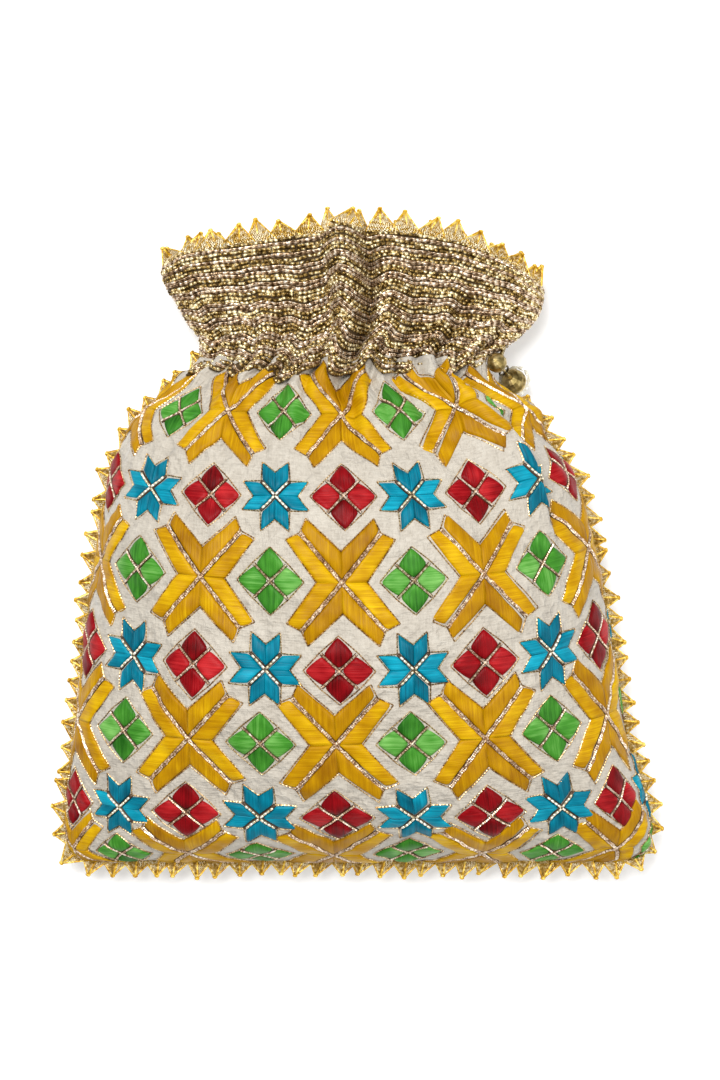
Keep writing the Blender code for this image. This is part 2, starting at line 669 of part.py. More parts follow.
def torus(major, minor, place, normal, steps, sides):
    bm = bmesh.new()
    ring = [bm.verts.new((major + minor * math.cos(a), 0, minor * math.sin(a)))
            for a in (2 * math.pi * k / sides for k in range(sides))]
    edges = [bm.edges.new((ring[k], ring[(k + 1) % sides])) for k in range(sides)]
    bmesh.ops.spin(bm, geom=ring + edges, cent=(0, 0, 0), axis=(0, 0, 1), angle=2 * math.pi,
                   steps=steps, use_merge=True)
    bmesh.ops.recalc_face_normals(bm, faces=bm.faces)
    turn = Vector(normal).to_track_quat("Z", "Y").to_matrix().to_4x4()
    bmesh.ops.transform(bm, matrix=Matrix.Translation(place) @ turn, verts=bm.verts)
    return bm


def turned(profile, segments, place, axis):
    # A solid turned about axis from (distance, radius) pairs, closed at both ends.
    bm = bmesh.new()
    points = [bm.verts.new((radius, 0, distance)) for distance, radius in profile]
    edges = [bm.edges.new(pair) for pair in zip(points, points[1:])]
    bmesh.ops.spin(bm, geom=points + edges, cent=(0, 0, 0), axis=(0, 0, 1), angle=2 * math.pi,
                   steps=segments, use_merge=True)
    bmesh.ops.remove_doubles(bm, verts=bm.verts, dist=1e-6)
    bmesh.ops.recalc_face_normals(bm, faces=bm.faces)
    turn = Vector(axis).to_track_quat("Z", "Y").to_matrix().to_4x4()
    bmesh.ops.transform(bm, matrix=Matrix.Translation(place) @ turn, verts=bm.verts)
    return bm


def mesh_of(name, *parts):
    mesh = bpy.data.meshes.new(name)
    whole = bmesh.new()
    for bm in parts:
        piece = bpy.data.meshes.new("piece")
        bm.to_mesh(piece)
        bm.free()
        whole.from_mesh(piece)
        bpy.data.meshes.remove(piece)
    whole.to_mesh(mesh)
    whole.free()
    return mesh


def pendant_frame():
    # The way the pendant lies, the level way across it, and the ring's own axis.
    turn, drop = math.radians(PENDANT_TURN), math.radians(PENDANT_DROP)
    lie = Vector((math.cos(turn) * math.cos(drop), math.sin(turn) * math.cos(drop), -math.sin(drop)))
    level = lie.cross(Vector((0, 0, 1))).normalized()
    return lie, level, level.cross(lie).normalized()


def fuse(carrier, name, ring, cutters, paint):
    # Joins a wire eye to the piece that carries it, as one solid.
    eye = finish_object(name, mesh_of(name, ring), cutters, paint)
    eye.hide_render = True
    eye.display_type = "WIRE"
    join = carrier.modifiers.new(name, "BOOLEAN")
    join.operation = "UNION"
    join.object = eye


def make_pendant(collection, cutters, gold):
    lie, level, ring_axis = pendant_frame()
    bead = Vector(CORD_BEAD_PLACE)
    eye_at = bead + lie * (CORD_BEAD_RADIUS + EYE_RADIUS + WIRE_RADIUS - EYE_SINK)
    ring_at = eye_at + lie * RING_RADIUS
    loop_at = ring_at + lie * RING_RADIUS
    stem_from = EYE_RADIUS + WIRE_RADIUS * 0.5
    bell_from = loop_at + lie * (stem_from + STEM_LENGTH)

    r = CORD_BEAD_RADIUS
    steps = [math.pi * k / 8 for k in range(9)]
    ball = turned([(-r * math.cos(a), r * math.sin(a)) for a in steps], 14, bead, lie)
    bead_object = finish_object("cord_bead", mesh_of("cord_bead", ball), collection, gold)
    fuse(bead_object, "bead_eye", torus(EYE_RADIUS, WIRE_RADIUS, eye_at, level, 14, 6), cutters, gold)

    ring = torus(RING_RADIUS, WIRE_RADIUS, ring_at, ring_axis, 16, 6)
    finish_object("wire_link", mesh_of("wire_link", ring), collection, gold)

    h, b = BELL_LENGTH, BELL_RADIUS
    profile = [
        (0.0, 0.0), (0.0, STEM_RADIUS), (STEM_LENGTH, STEM_RADIUS), (STEM_LENGTH, b * 0.36),
        (STEM_LENGTH + h * 0.10, b * 0.68), (STEM_LENGTH + h * 0.26, b * 0.90),
        (STEM_LENGTH + h * 0.48, b), (STEM_LENGTH + h * 0.60, b * 0.99), (STEM_LENGTH + h * 0.82, b * 0.78),
        (STEM_LENGTH + h * 0.94, b * 0.42), (STEM_LENGTH + h, 0.0),
    ]
    bell = turned(profile, 16, loop_at + lie * stem_from, lie)
    bell_object = finish_object("pendant_bell", mesh_of("pendant_bell", bell), collection, gold)
    fuse(bell_object, "bell_eye", torus(EYE_RADIUS, WIRE_RADIUS, loop_at, level, 14, 6), cutters, gold)

    band_at = bell_from + lie * h * 0.54
    ring = BELL_RADIUS + BAND_RADIUS + JOIN_GAP

    def place(around, section):
        a, b = 2 * math.pi * around, 2 * math.pi * section
        bead = BAND_RADIUS * (0.35 + 0.65 * abs(math.sin(a * BAND_BEADS / 2)))
        side = level * math.cos(a) + ring_axis * math.sin(a)
        return band_at + side * (ring + bead * math.cos(b)) + lie * bead * math.sin(b)

    closed_sheet("pendant_band", BAND_BEADS * 4, 6, place, collection, gold)


def set_down(collection, cutters):
    # Every piece hangs from one empty, which brings the middle of the bag over the origin.
    home = bpy.data.objects.new("home", None)
    for piece in list(collection.objects) + list(cutters.objects):
        piece.parent = home
    collection.objects.link(home)
    home.location = (-BAG_MIDDLE[0], -BAG_MIDDLE[1], 0.0)


def main():
    clear_scene()
    collection = bpy.data.collections.new("potli_bag")
    cutters = bpy.data.collections.new("potli_bag_cutters")
    for group in (collection, cutters):
        bpy.context.scene.collection.children.link(group)
    cloth = material("cream silk", CLOTH_COLOUR, 0.75)
    beads = material("gold seed beads", BEAD_GOLD, 0.3, 0.8)
    ribbon = material("gold ribbon", RIBBON_GOLD, 0.35, 0.7)
    lining = material("tan lining", LINING_TAN, 0.6)
    gold = material("antique gold", ANTIQUE_GOLD, 0.35, 1.0)
    wire = material("rose wire", ROSE_WIRE, 0.35, 0.6)
    silks = [
        material("yellow silk", YELLOW_SILK, 0.4),
        material("green silk", GREEN_SILK, 0.4),
        material("red silk", RED_SILK, 0.4),
        material("blue silk", BLUE_SILK, 0.4),
    ]
    make_front_panel(collection, cloth, silks)
    make_back_panel(collection, cloth)
    make_collar(collection, beads, wire)
    make_lining(collection, lining)
    make_seam_trim(collection, ribbon)
    make_mouth_trim(collection, ribbon)
    make_drawstring(collection, ribbon)
    make_pendant(collection, cutters, gold)
    set_down(collection, cutters)


main()
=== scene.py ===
import math

import bmesh
import bpy
import numpy as np
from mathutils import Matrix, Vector


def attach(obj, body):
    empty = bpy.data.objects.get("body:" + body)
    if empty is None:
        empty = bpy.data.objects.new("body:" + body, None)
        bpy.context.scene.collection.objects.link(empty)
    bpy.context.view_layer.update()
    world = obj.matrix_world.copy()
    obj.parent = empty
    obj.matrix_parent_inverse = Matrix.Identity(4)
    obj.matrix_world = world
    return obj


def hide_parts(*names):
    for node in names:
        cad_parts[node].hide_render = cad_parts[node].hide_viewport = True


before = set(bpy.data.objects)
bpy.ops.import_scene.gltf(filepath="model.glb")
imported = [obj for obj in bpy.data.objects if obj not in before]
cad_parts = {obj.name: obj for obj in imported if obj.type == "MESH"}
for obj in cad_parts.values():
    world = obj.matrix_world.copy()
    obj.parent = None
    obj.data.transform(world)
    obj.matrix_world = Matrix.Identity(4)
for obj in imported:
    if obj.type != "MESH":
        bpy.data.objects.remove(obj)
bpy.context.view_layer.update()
print("frame loaded")

# The photograph looks straight at the front, so the camera looks straight down on the bag.
shot = {
    "millimetresPerPixel": 0.38, "picture": (720, 1080), "originPixel": (358.2, 542.4),
    "lens": 100.0, "sensor": 36.0, "focusHeight": 0.018,
}
light = {
    "world": 0.33, "keyPower": 17.5, "keySize": 0.60, "keyPlace": (-0.25, 0.40, 1.20),
    "fillPower": 6.0, "fillSize": 1.0, "fillPlace": (0.75, -0.25, 0.9),
    "floorColour": (0.93, 0.93, 0.93, 1.0), "floorGlow": 0.22, "floorSize": 3.0, "floorDrop": 0.0002,
}
body = {
    # place along the bag: left, right, crown of the front, seam
    "stations": (
        (-0.1205, 0.0980, 0.1000, 0.0140, 0.0140), (-0.1188, 0.1045, 0.1065, 0.0215, 0.0142),
        (-0.1130, 0.1090, 0.1118, 0.0345, 0.0145), (-0.1065, 0.1098, 0.1122, 0.0430, 0.0150),
        (-0.0980, 0.1092, 0.1105, 0.0500, 0.0150), (-0.0717, 0.1062, 0.1028, 0.0620, 0.0160),
        (-0.0400, 0.1028, 0.0978, 0.0685, 0.0160), (-0.0070, 0.0984, 0.0914, 0.0695, 0.0160),
        (0.0240, 0.0930, 0.0832, 0.0615, 0.0170), (0.0384, 0.0872, 0.0738, 0.0530, 0.0185),
        (0.0495, 0.0800, 0.0665, 0.0450, 0.0200), (0.0545, 0.0740, 0.0575, 0.0415, 0.0208),
        (0.0600, 0.0680, 0.0510, 0.0385, 0.0216), (0.0650, 0.0610, 0.0488, 0.0364, 0.0220),
        (0.0690, 0.0580, 0.0480, 0.0356, 0.0220),
    ),
    "backStations": (  # place along the bag: back
        (-0.1205, 0.0140), (-0.1188, 0.0085), (-0.1130, 0.0020), (-0.1065, 0.0000), (0.0240, 0.0000),
        (0.0384, 0.0008), (0.0495, 0.0028), (0.0545, 0.0045), (0.0600, 0.0065), (0.0650, 0.0078),
        (0.0690, 0.0080),
    ),
    "neckY": 0.0690, "sideLift": (0.0110, 0.0170), "wall": 0.0012, "seamGap": 0.0026, "topGap": 0.0002,
    # columns of motifs from the middle line to the seam, and the way from one column to the next
    "columnsAtBase": 4.8, "columnsAtNeck": 4.3, "columnStep": 0.0274,
    # the front hangs over at the right shoulder: its place along the bag, reach, how far out and up
    "shoulder": (0.0540, 0.0062, 0.0056, 0.0012),
    "depthShare": 0.53, "frontGrid": (236, 200), "backGrid": (120, 110),
}
collar = {
    # share of the way from neck to mouth: left, right, front, seam, back
    "stations": (
        (-0.18, 0.0700, 0.0520, 0.0420, 0.0217, 0.0074), (-0.08, 0.0615, 0.0494, 0.0405, 0.0221, 0.0078),
        (0.00, 0.0580, 0.0490, 0.0376, 0.0220, 0.0078),
        (0.20, 0.0580, 0.0570, 0.0356, 0.0208, 0.0066), (0.40, 0.0630, 0.0640, 0.0345, 0.0196, 0.0052),
        (0.60, 0.0672, 0.0688, 0.0335, 0.0184, 0.0042), (0.80, 0.0718, 0.0710, 0.0320, 0.0172, 0.0034),
        (0.94, 0.0732, 0.0714, 0.0305, 0.0163, 0.0030), (1.00, 0.0722, 0.0706, 0.0298, 0.0160, 0.0032),
    ),
    # the front rim, by its place from the left end, -1, to the right end, 1
    "rim": (
        (-1.0, 0.1062), (-0.88, 0.1106), (-0.68, 0.1127), (-0.41, 0.1152), (-0.20, 0.1170), (-0.06, 0.1176),
        (0.06, 0.1180), (0.14, 0.1180), (0.26, 0.1174), (0.53, 0.1146), (0.73, 0.1098), (0.87, 0.1048),
        (1.0, 0.0980),
    ),
    "backDrop": 0.0042, "skirt": 0.120, "length": 0.052, "depthShare": 0.27, "gap": 0.0003,
    "grid": (250, 42), "wall": 0.0008, "sunk": 0.0006, "rows": 35, "rowHeight": 0.0002,
    # the rounds of gold beads from the sewn edge up; the others are of wire
    "goldRows": (0, 2, 3, 6, 7, 10, 11, 12, 15, 16, 19, 20, 21, 24, 25, 28, 29, 31, 32, 34),
    "bead": (0.00063, 0.00160, 7, 1.15), "beadPitch": 0.00186,  # a bead's radius, length, sides and bulge
    "wire": (0.00077, 0.00066), "wirePitch": 0.00056,  # the wire's two radii, which take turns
    # where the sewn edge dips over the body or lifts: place, width, how much
    "dips": ((-0.30, 0.08, 0.06), (-0.12, 0.04, -0.12), (0.18, 0.05, -0.09), (0.95, 0.12, -0.05)),
}
centre = (0.0012, 0.0008)  # taken off every point, so that the bag's middle is over the origin


def smoothTable(at, value):
    # a smooth curve through a table's points with no overshoot, for whole arrays
    at, value = np.array(at, float), np.array(value, float)
    step = np.diff(at)
    rise = np.diff(value) / step
    slope = np.zeros(len(at))
    same = rise[:-1] * rise[1:] > 0
    slope[1:-1] = np.where(same, 2 * rise[:-1] * rise[1:] / np.where(same, rise[:-1] + rise[1:], 1.0), 0.0)
    slope[0], slope[-1] = rise[0], rise[-1]

    def read(x):
        x = np.clip(x, at[0], at[-1])
        i = np.clip(np.searchsorted(at, x, side="right") - 1, 0, len(step) - 1)
        t = (x - at[i]) / step[i]
        start = (1 + 2 * t) * (1 - t) ** 2 * value[i] + t * (1 - t) ** 2 * step[i] * slope[i]
        return start + t * t * (3 - 2 * t) * value[i + 1] - t * t * (1 - t) * step[i] * slope[i + 1]

    return read


def evenAngle(ratio):
    # the angle round half an ellipse, by the share of its arc from -1 to 1
    angles = np.linspace(-math.pi / 2, math.pi / 2, 721)
    middle = (angles[:-1] + angles[1:]) / 2
    arc = np.concatenate([[0.0], np.cumsum(np.hypot(np.cos(middle), ratio * np.sin(middle)))])
    return lambda f: np.interp(f, 2 * arc / arc[-1] - 1, angles)


def columnsOf(table, names):
    at = [row[0] for row in table]
    return {name: smoothTable(at, [row[k + 1] for row in table]) for k, name in enumerate(names)}


def arcLength(points):
    # how far along a line each of its points is
    return np.concatenate([[0.0], np.cumsum(np.linalg.norm(np.diff(points, axis=0), axis=1))])


rimCurve = smoothTable(*zip(*collar["rim"]))
bodyCurve = columnsOf(body["stations"], ("left", "right", "front", "seam"))
bodyCurve.update(columnsOf(body["backStations"], ("back",)))
collarCurve = columnsOf(collar["stations"], ("left", "right", "front", "seam", "back"))
baseY, neckY = body["stations"][0][0], body["neckY"]
panelAngle, neckAngle = evenAngle(body["depthShare"]), evenAngle(collar["depthShare"])
crownY = np.linspace(baseY, neckY, 900)
crownArc = arcLength(np.stack([crownY, bodyCurve["front"](crownY)], -1))
panelLength = crownArc[-1]


def alongAt(y):
    return float(np.interp(y, crownY, crownArc))


def columnsToSeam(along):
    base, neck = body["columnsAtBase"], body["columnsAtNeck"]
    return base + (neck - base) * np.clip(along / panelLength, 0, 1)


def ripple(seed, count, shortest, longest):
    # gentle random waves on the flat cloth, the same every run
    draw = np.random.default_rng(seed)
    size = draw.uniform(shortest, longest, count)
    way = draw.uniform(0, math.pi, count)
    phase = draw.uniform(0, 2 * math.pi, count)
    kx, ky = 2 * math.pi * np.cos(way) / size, 2 * math.pi * np.sin(way) / size

    def read(x, y):
        total = np.zeros_like(x)
        for a, b, c in zip(kx, ky, phase):
            total += np.sin(a * x + b * y + c)
        return total / math.sqrt(count)

    return read


folds = {
    # pleats where the neck is drawn in, by place from the left end, -1, to the right end, 1:
    # place, half width, height, reach down the body, reach up the collar, drift of the body's fold
    "pleats": (
        (-0.94, 0.060, 0.0022, 0.016, 0.20, -0.06), (-0.82, 0.070, 0.0030, 0.022, 0.30, -0.07),
        (-0.68, 0.065, 0.0026, 0.016, 0.22, -0.05), (-0.545, 0.070, 0.0034, 0.026, 0.34, -0.05),
        (-0.42, 0.060, 0.0030, 0.020, 0.28, -0.03), (-0.30, 0.060, 0.0026, 0.018, 0.20, -0.02),
        (-0.205, 0.055, 0.0042, 0.032, 0.34, -0.02), (-0.06, 0.090, 0.0046, 0.022, 2.20, 0.00),
        (0.165, 0.065, 0.0036, 0.030, 0.30, 0.02), (0.30, 0.070, 0.0042, 0.034, 0.42, 0.03),
        (0.445, 0.065, 0.0030, 0.020, 0.26, 0.05), (0.575, 0.065, 0.0042, 0.030, 0.36, 0.08),
        (0.71, 0.065, 0.0034, 0.024, 0.30, 0.10), (0.84, 0.060, 0.0030, 0.020, 0.26, 0.08),
        (0.955, 0.045, 0.0018, 0.014, 0.16, 0.04),
    ),
    "frontHalf": 0.09,  # half the front's width, for the long folds
    "long": (
        # soft folds on the front: start and end by place and share of the way up, width, height
        (0.50, 0.99, 0.90, 0.72, 0.0080, 0.0030), (0.66, 0.99, 0.98, 0.80, 0.0042, -0.0016),
        (0.34, 0.99, 0.62, 0.80, 0.0055, 0.0026), (-0.82, 0.97, -0.95, 0.62, 0.0080, 0.0020),
        (-0.50, 0.99, -0.72, 0.80, 0.0060, 0.0018), (0.02, 0.99, 0.06, 0.84, 0.0046, -0.0024),
    ),
    "collar": (
        # on the collar: place, half width, height, from and to, by share of the way up
        (0.085, 0.036, -0.0066, -0.1, 1.1), (-0.06, 0.065, 0.0020, 0.3, 1.1), (0.42, 0.08, 0.0022, 0.2, 0.85),
        (0.62, 0.06, -0.0038, -0.1, 0.75), (-0.45, 0.08, -0.0034, 0.0, 0.75), (0.26, 0.05, 0.0024, 0.1, 0.95),
        (-0.22, 0.06, -0.0036, 0.0, 0.85), (-0.72, 0.07, 0.0022, 0.0, 0.6), (-0.86, 0.05, -0.0030, -0.1, 0.5),
        (0.80, 0.06, 0.0022, 0.0, 0.6), (0.90, 0.04, -0.0026, -0.1, 0.5), (-0.33, 0.05, 0.0020, 0.0, 0.65),
        (-0.58, 0.05, 0.0018, -0.1, 0.5), (0.35, 0.03, -0.0030, 0.0, 0.6),
    ),
    # random waves: seed, how many, shortest, longest, height
    "puckers": (7, 30, 0.006, 0.016, 0.00026), "waves": (8, 12, 0.035, 0.08, 0.0009),
    "collarWaves": (21, 8, 0.03, 0.07, 0.00025), "pleatScale": 1.75,
}
lap = {
    # the front laps over itself at the right shoulder: two points of the edge on the flat cloth,
    # the width hidden under it, and how far up the cloth it begins and is full
    "edge": ((0.0750, 0.2021), (0.0885, 0.1452)), "hidden": 0.0108, "begin": 0.134, "full": 0.198,
    # how far the edge stands up and the cloth beside it dips, and how far each runs out
    "stand": 0.0056, "standReach": 0.015, "dip": 0.0038, "dipReach": 0.010, "crease": 0.0008,
}
pucker = ripple(*folds["puckers"][:4])
wave = ripple(*folds["waves"][:4])
step = body["columnStep"]


def pleatRise(place, down, up):
    # how far the pleats stand out, below the neck by down in metres and above it by up as a share
    total = np.zeros_like(place)
    for at, width, height, reachDown, reachUp, drift in folds["pleats"]:
        below, above = np.maximum(down, 0) / reachDown, np.maximum(up, 0) / reachUp
        fade = np.where(down > 0, np.exp(-(below**1.5)), np.exp(-(above**1.4)))
        spread = width * (1 + 0.5 * np.clip(below, 0, 2) + 0.35 * np.clip(above, 0, 2))
        line = at + drift * np.clip(below, 0, 2)
        total = np.maximum(total, height * fade * np.clip(1 - ((place - line) / spread) ** 2, 0, 1) ** 0.9)
    return total * folds["pleatScale"]


def lapEdge(y):
    # where the lap's edge runs, and how much of it there is, up the cloth
    (x0, y0), (x1, y1) = lap["edge"]
    t = np.clip((y - lap["begin"]) / (lap["full"] - lap["begin"]), 0, 1)
    return x0 + (y0 - y) * (x1 - x0) / (y0 - y1), t * t * (3 - 2 * t)


def lapped(x, y):
    # where a place on the cut cloth comes to lie on the front, and whether it is hidden under the lap
    line, share = lapEdge(y)
    hidden = lap["hidden"] * share
    return np.where(x > line + hidden, x - hidden, np.minimum(x, line)), (x > line) & (x < line + hidden)


def foldRise(x, y):
    # how far the folds lift the cloth, by its flat place in metres
    place = np.sin(panelAngle(np.clip(x / step / columnsToSeam(y), -1, 1)))
    down = panelLength - y
    total = pleatRise(place, np.maximum(down, 1e-6), np.zeros_like(down))
    px = place * folds["frontHalf"]
    for startX, startY, endX, endY, width, rise in folds["long"]:
        ax, ay = startX * folds["frontHalf"], startY * panelLength
        ex, ey = endX * folds["frontHalf"] - ax, endY * panelLength - ay
        long = math.hypot(ex, ey)
        t = ((px - ax) * ex + (y - ay) * ey) / long**2
        far = ((px - ax) * ey - (y - ay) * ex) / long
        inside = np.clip(t, 0, 1)
        beyond = (t - inside) * long
        steep = np.where(far > 0, 0.55, 1.25)  # a fold leans over to one side
        swell = np.exp(-((far / (width * steep)) ** 2) - (beyond / width) ** 2)
        total = total + rise * swell * (1 - 0.5 * inside)
    line, share = lapEdge(y)
    past = x - line
    beside = 0.5 + 0.5 * np.tanh(past / lap["crease"])
    stand = (1 - beside) * lap["stand"] * np.exp(-((past / lap["standReach"]) ** 2))
    dip = beside * lap["dip"] * np.exp(-((past / lap["dipReach"]) ** 2))
    total = total + share**0.4 * (stand - dip)
    side = columnsToSeam(y) * step
    edge = np.clip(np.minimum(side - np.abs(x), np.minimum(y, down)) / 0.012, 0, 1)
    return total + pucker(x, y) * folds["puckers"][4] + wave(x, y) * folds["waves"][4] * edge


def bodyPoint(column, along, front=True, inset=0.0, gap=body["seamGap"] / 2):
    # a place on the smooth form, by its column from the middle line and the way up the cloth
    side = column / columnsToSeam(along)
    leftLift, rightLift = body["sideLift"]
    lift = np.where(column > 0, rightLift, leftLift) * np.sin(math.pi * np.clip(along / panelLength, 0, 1))
    y = np.interp(along, crownArc, crownY) + lift * side**2
    angle = panelAngle(side)
    left, right, seam = (bodyCurve[k](y) for k in ("left", "right", "seam"))
    x = (right - left) / 2 + ((left + right) / 2 - inset) * np.sin(angle)
    if front:
        z = seam + gap + np.maximum(bodyCurve["front"](y) - seam - inset, 0) * np.cos(angle)
        at, reach, out, high = body["shoulder"]
        over = np.exp(-(((y - at) / reach) ** 2)) * np.clip(np.sin(angle), 0, 1) ** 4
        x, z = x + out * over, z + high * over
    else:
        sag = np.maximum(seam - gap - bodyCurve["back"](y) - inset, 0)
        flat = np.sqrt(np.maximum(0, 1 - np.abs(np.sin(angle)) ** 5))
        z = np.maximum(seam - gap - sag * np.minimum(1, flat * 1.06), inset)
    return np.stack([x - centre[0], y - centre[1], z], -1)


def between(a, b, share):
    return a * (1 - share)[:, None] + b * share[:, None]


def unit(v):
    return v / np.maximum(np.linalg.norm(v, axis=-1, keepdims=True), 1e-12)


def clothFrame(x, y):
    # the point on the smooth form and the way out of it
    column, limit = x / step, columnsToSeam(y)
    low, high = np.clip(column - 0.06, -limit, limit), np.clip(column + 0.06, -limit, limit)
    near, far = np.clip(y - 0.001, 0, panelLength), np.clip(y + 0.001, 0, panelLength)
    middle = np.clip(column, -columnsToSeam(far), columnsToSeam(far))
    across = bodyPoint(high, y) - bodyPoint(low, y)
    lengthwise = bodyPoint(middle, far) - bodyPoint(middle, near)
    return bodyPoint(column, y), unit(np.cross(across, lengthwise))


def onCloth(x, y, height=0.0):
    # a place on the finished, folded front
    x, y = np.asarray(x, float), np.asarray(y, float)
    place, out = clothFrame(x, y)
    side = columnsToSeam(y) * step
    edge = np.clip(np.minimum(side - np.abs(x), np.minimum(y, panelLength - y + 0.004)) / 0.004, 0, 1)
    rise = foldRise(x, y) * edge + height
    return place + out * rise[..., None]


# Making meshes


def meshOf(name, bm):
    mesh = bpy.data.meshes.new(name)
    bm.to_mesh(mesh)
    bm.free()
    return mesh


def listedMesh(name, points, faces):
    mesh = bpy.data.meshes.new(name)
    mesh.from_pydata(points.tolist(), [], faces)
    return mesh


def addPiece(name, mesh, material, carrier="bag", smooth=True):
    mesh.polygons.foreach_set("use_smooth", [smooth] * len(mesh.polygons))
    mesh.materials.append(material)
    piece = bpy.data.objects.new(name, mesh)
    bpy.context.scene.collection.objects.link(piece)
    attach(piece, carrier)
    return piece


def thicken(piece, wall, offset=-1):
    modifier = piece.modifiers.new("wall", "SOLIDIFY")
    modifier.thickness, modifier.offset = wall, offset


def coordinates(mesh):
    flat = np.empty(len(mesh.vertices) * 3)
    mesh.vertices.foreach_get("co", flat)
    return flat.reshape(-1, 3)


def facesOf(mesh):
    return [tuple(face.vertices) for face in mesh.polygons]


def putBack(mesh, points):
    mesh.vertices.foreach_set("co", np.asarray(points, float).ravel())
    mesh.update()


def mark(mesh, name, *values):
    # a vector on every vertex, for the materials
    layer = mesh.attributes.new(name, "FLOAT_VECTOR", "POINT")
    layer.data.foreach_set("vector", np.stack(values, -1).astype(float).ravel())


def gridMesh(name, across, along):
    # a flat grid, and the place of each of its points as two shares from 0 to 1
    bm = bmesh.new()
    bmesh.ops.create_grid(bm, x_segments=across, y_segments=along, size=0.5)
    mesh = meshOf(name, bm)
    return mesh, coordinates(mesh) + 0.5


def faceOutwards(mesh, merge=0.0):
    bm = bmesh.new()
    bm.from_mesh(mesh)
    if merge:
        bmesh.ops.remove_doubles(bm, verts=bm.verts, dist=merge)
    bmesh.ops.recalc_face_normals(bm, faces=bm.faces)
    bm.to_mesh(mesh)
    bm.free()


def stamp(name, template, places, run, out):
    # one copy of a small mesh at every place, its X along run
    side = unit(np.cross(out, run))
    axes = np.stack([run, side, np.cross(run, side)], 1)
    shape, faces = coordinates(template), facesOf(template)
    copies = [tuple(v + k * len(shape) for v in face) for k in range(len(places)) for face in faces]
    mesh = listedMesh(name, (places[:, None] + shape @ axes).reshape(-1, 3), copies)
    mesh.validate()
    return mesh


def threadMesh(name, paths, sides):
    # round threads: each path has its points, the way out of the cloth, and a radius at each point
    verts, faces, alongs, turns, start = [], [], [], [], 0
    turn = 2 * math.pi * np.arange(sides) / sides
    for points, outs, radius in paths:
        tangent = unit(np.gradient(points, axis=0))
        side = unit(np.cross(tangent, outs))
        up = np.cross(side, tangent)
        ring = np.cos(turn)[None, :, None] * side[:, None] + np.sin(turn)[None, :, None] * up[:, None]
        verts.append((points[:, None] + ring * radius[:, None, None]).reshape(-1, 3))
        alongs.append(np.repeat(arcLength(points), sides))
        turns.append(np.tile(turn, len(points)))
        for a in range(start, start + (len(points) - 1) * sides, sides):
            for s, t in zip(range(a, a + sides), [*range(a + 1, a + sides), a]):
                faces.append((s, t, t + sides, s + sides))
        faces.append(tuple(range(start + sides - 1, start - 1, -1)))
        start += len(points) * sides
        faces.append(tuple(range(start - sides, start)))
    mesh = listedMesh(name, np.concatenate(verts), faces)
    faceOutwards(mesh)
    along = np.concatenate(alongs)
    mark(mesh, "thread", along, np.concatenate(turns), np.zeros_like(along))
    return mesh


def evenly(points, spacing):
    # points at an even spacing along a line
    points = np.asarray(points, float)
    arc = arcLength(points)
    at = np.linspace(0, arc[-1], max(2, int(round(arc[-1] / spacing)) + 1))
    return np.stack([np.interp(at, arc, values) for values in points.T], -1)


# Shader maths


class Signal:
    # a socket that takes part in sums; other nodes come from Paint.node
    def __init__(self, paint, socket):
        self.paint, self.socket = paint, socket

    def math(self, operation, other=None, swap=False):
        pair = [self, other] if other is not None else [self]
        return self.paint.node("ShaderNodeMath", {"operation": operation}, *(pair[::-1] if swap else pair))

    def __add__(self, other):
        return self.math("ADD", other)

    __radd__ = __add__

    def __sub__(self, other):
        return self.math("SUBTRACT", other)

    def __rsub__(self, other):
        return self.math("SUBTRACT", other, True)

    def __mul__(self, other):
        return self.math("MULTIPLY", other)

    __rmul__ = __mul__

    def sine(self):
        return self.math("SINE")


class Paint:
    # one material under construction
    def __init__(self, name, **shader):
        self.material = bpy.data.materials.new(name)
        self.material.use_nodes = True
        self.tree = self.material.node_tree
        self.shader = self.tree.nodes["Principled BSDF"]
        for socket, value in shader.items():
            self.shader.inputs[socket.replace("_", " ")].default_value = value

    def node(self, kind, settings, *values, output=0, **named):
        made = self.tree.nodes.new(kind)
        for key, value in settings.items():
            if key == "stops":
                ramp = made.color_ramp
                while len(ramp.elements) < len(value):
                    ramp.elements.new(0.5)
                for element, (place, colour) in zip(ramp.elements, value):
                    element.position, element.color = place, (*colour, 1.0)
            else:
                setattr(made, key, value)
        for key, value in list(enumerate(values)) + list(named.items()):
            socket = made.inputs[key if isinstance(key, int) else key.replace("_", " ")]
            if isinstance(value, Signal):
                self.tree.links.new(value.socket, socket)
            else:
                socket.default_value = value
        return Signal(self, made.outputs[output])

    def attribute(self, name):
        return self.node("ShaderNodeAttribute", {"attribute_name": name}, output=1)

    def parts(self, vector):
        split = self.node("ShaderNodeSeparateXYZ", {}, vector)
        return [Signal(self, socket) for socket in split.socket.node.outputs]

    def place(self):
        return self.node("ShaderNodeTexCoord", {}, output=3)

    def scaled(self, vector, x, y, z):
        return self.node("ShaderNodeVectorMath", {"operation": "MULTIPLY"}, vector, (x, y, z))

    def noise(self, vector, scale, detail=2.0, rough=0.5):
        return self.node("ShaderNodeTexNoise", {}, Vector=vector, Scale=scale, Detail=detail, Roughness=rough)

    def colour(self, tone, *stops):
        # the base colour follows a tone through stops, each a place and a colour
        self.feed("Base Color", self.node("ShaderNodeValToRGB", {"stops": stops}, tone))

    def blend(self, factor, low, high):
        made = self.tree.nodes.new("ShaderNodeMix")
        made.data_type = "RGBA"
        for socket, value in ((made.inputs[0], factor), (made.inputs[6], low), (made.inputs[7], high)):
            if isinstance(value, Signal):
                self.tree.links.new(value.socket, socket)
            else:
                socket.default_value = value if isinstance(value, float) else (*value, 1.0)
        return Signal(self, made.outputs[2])

    def feed(self, socket, signal):
        self.tree.links.new(signal.socket, self.shader.inputs[socket])

    def bump(self, height, strength, distance):
        bumped = self.node("ShaderNodeBump", {}, Strength=strength, Distance=distance, Height=height)
        self.feed("Normal", bumped)


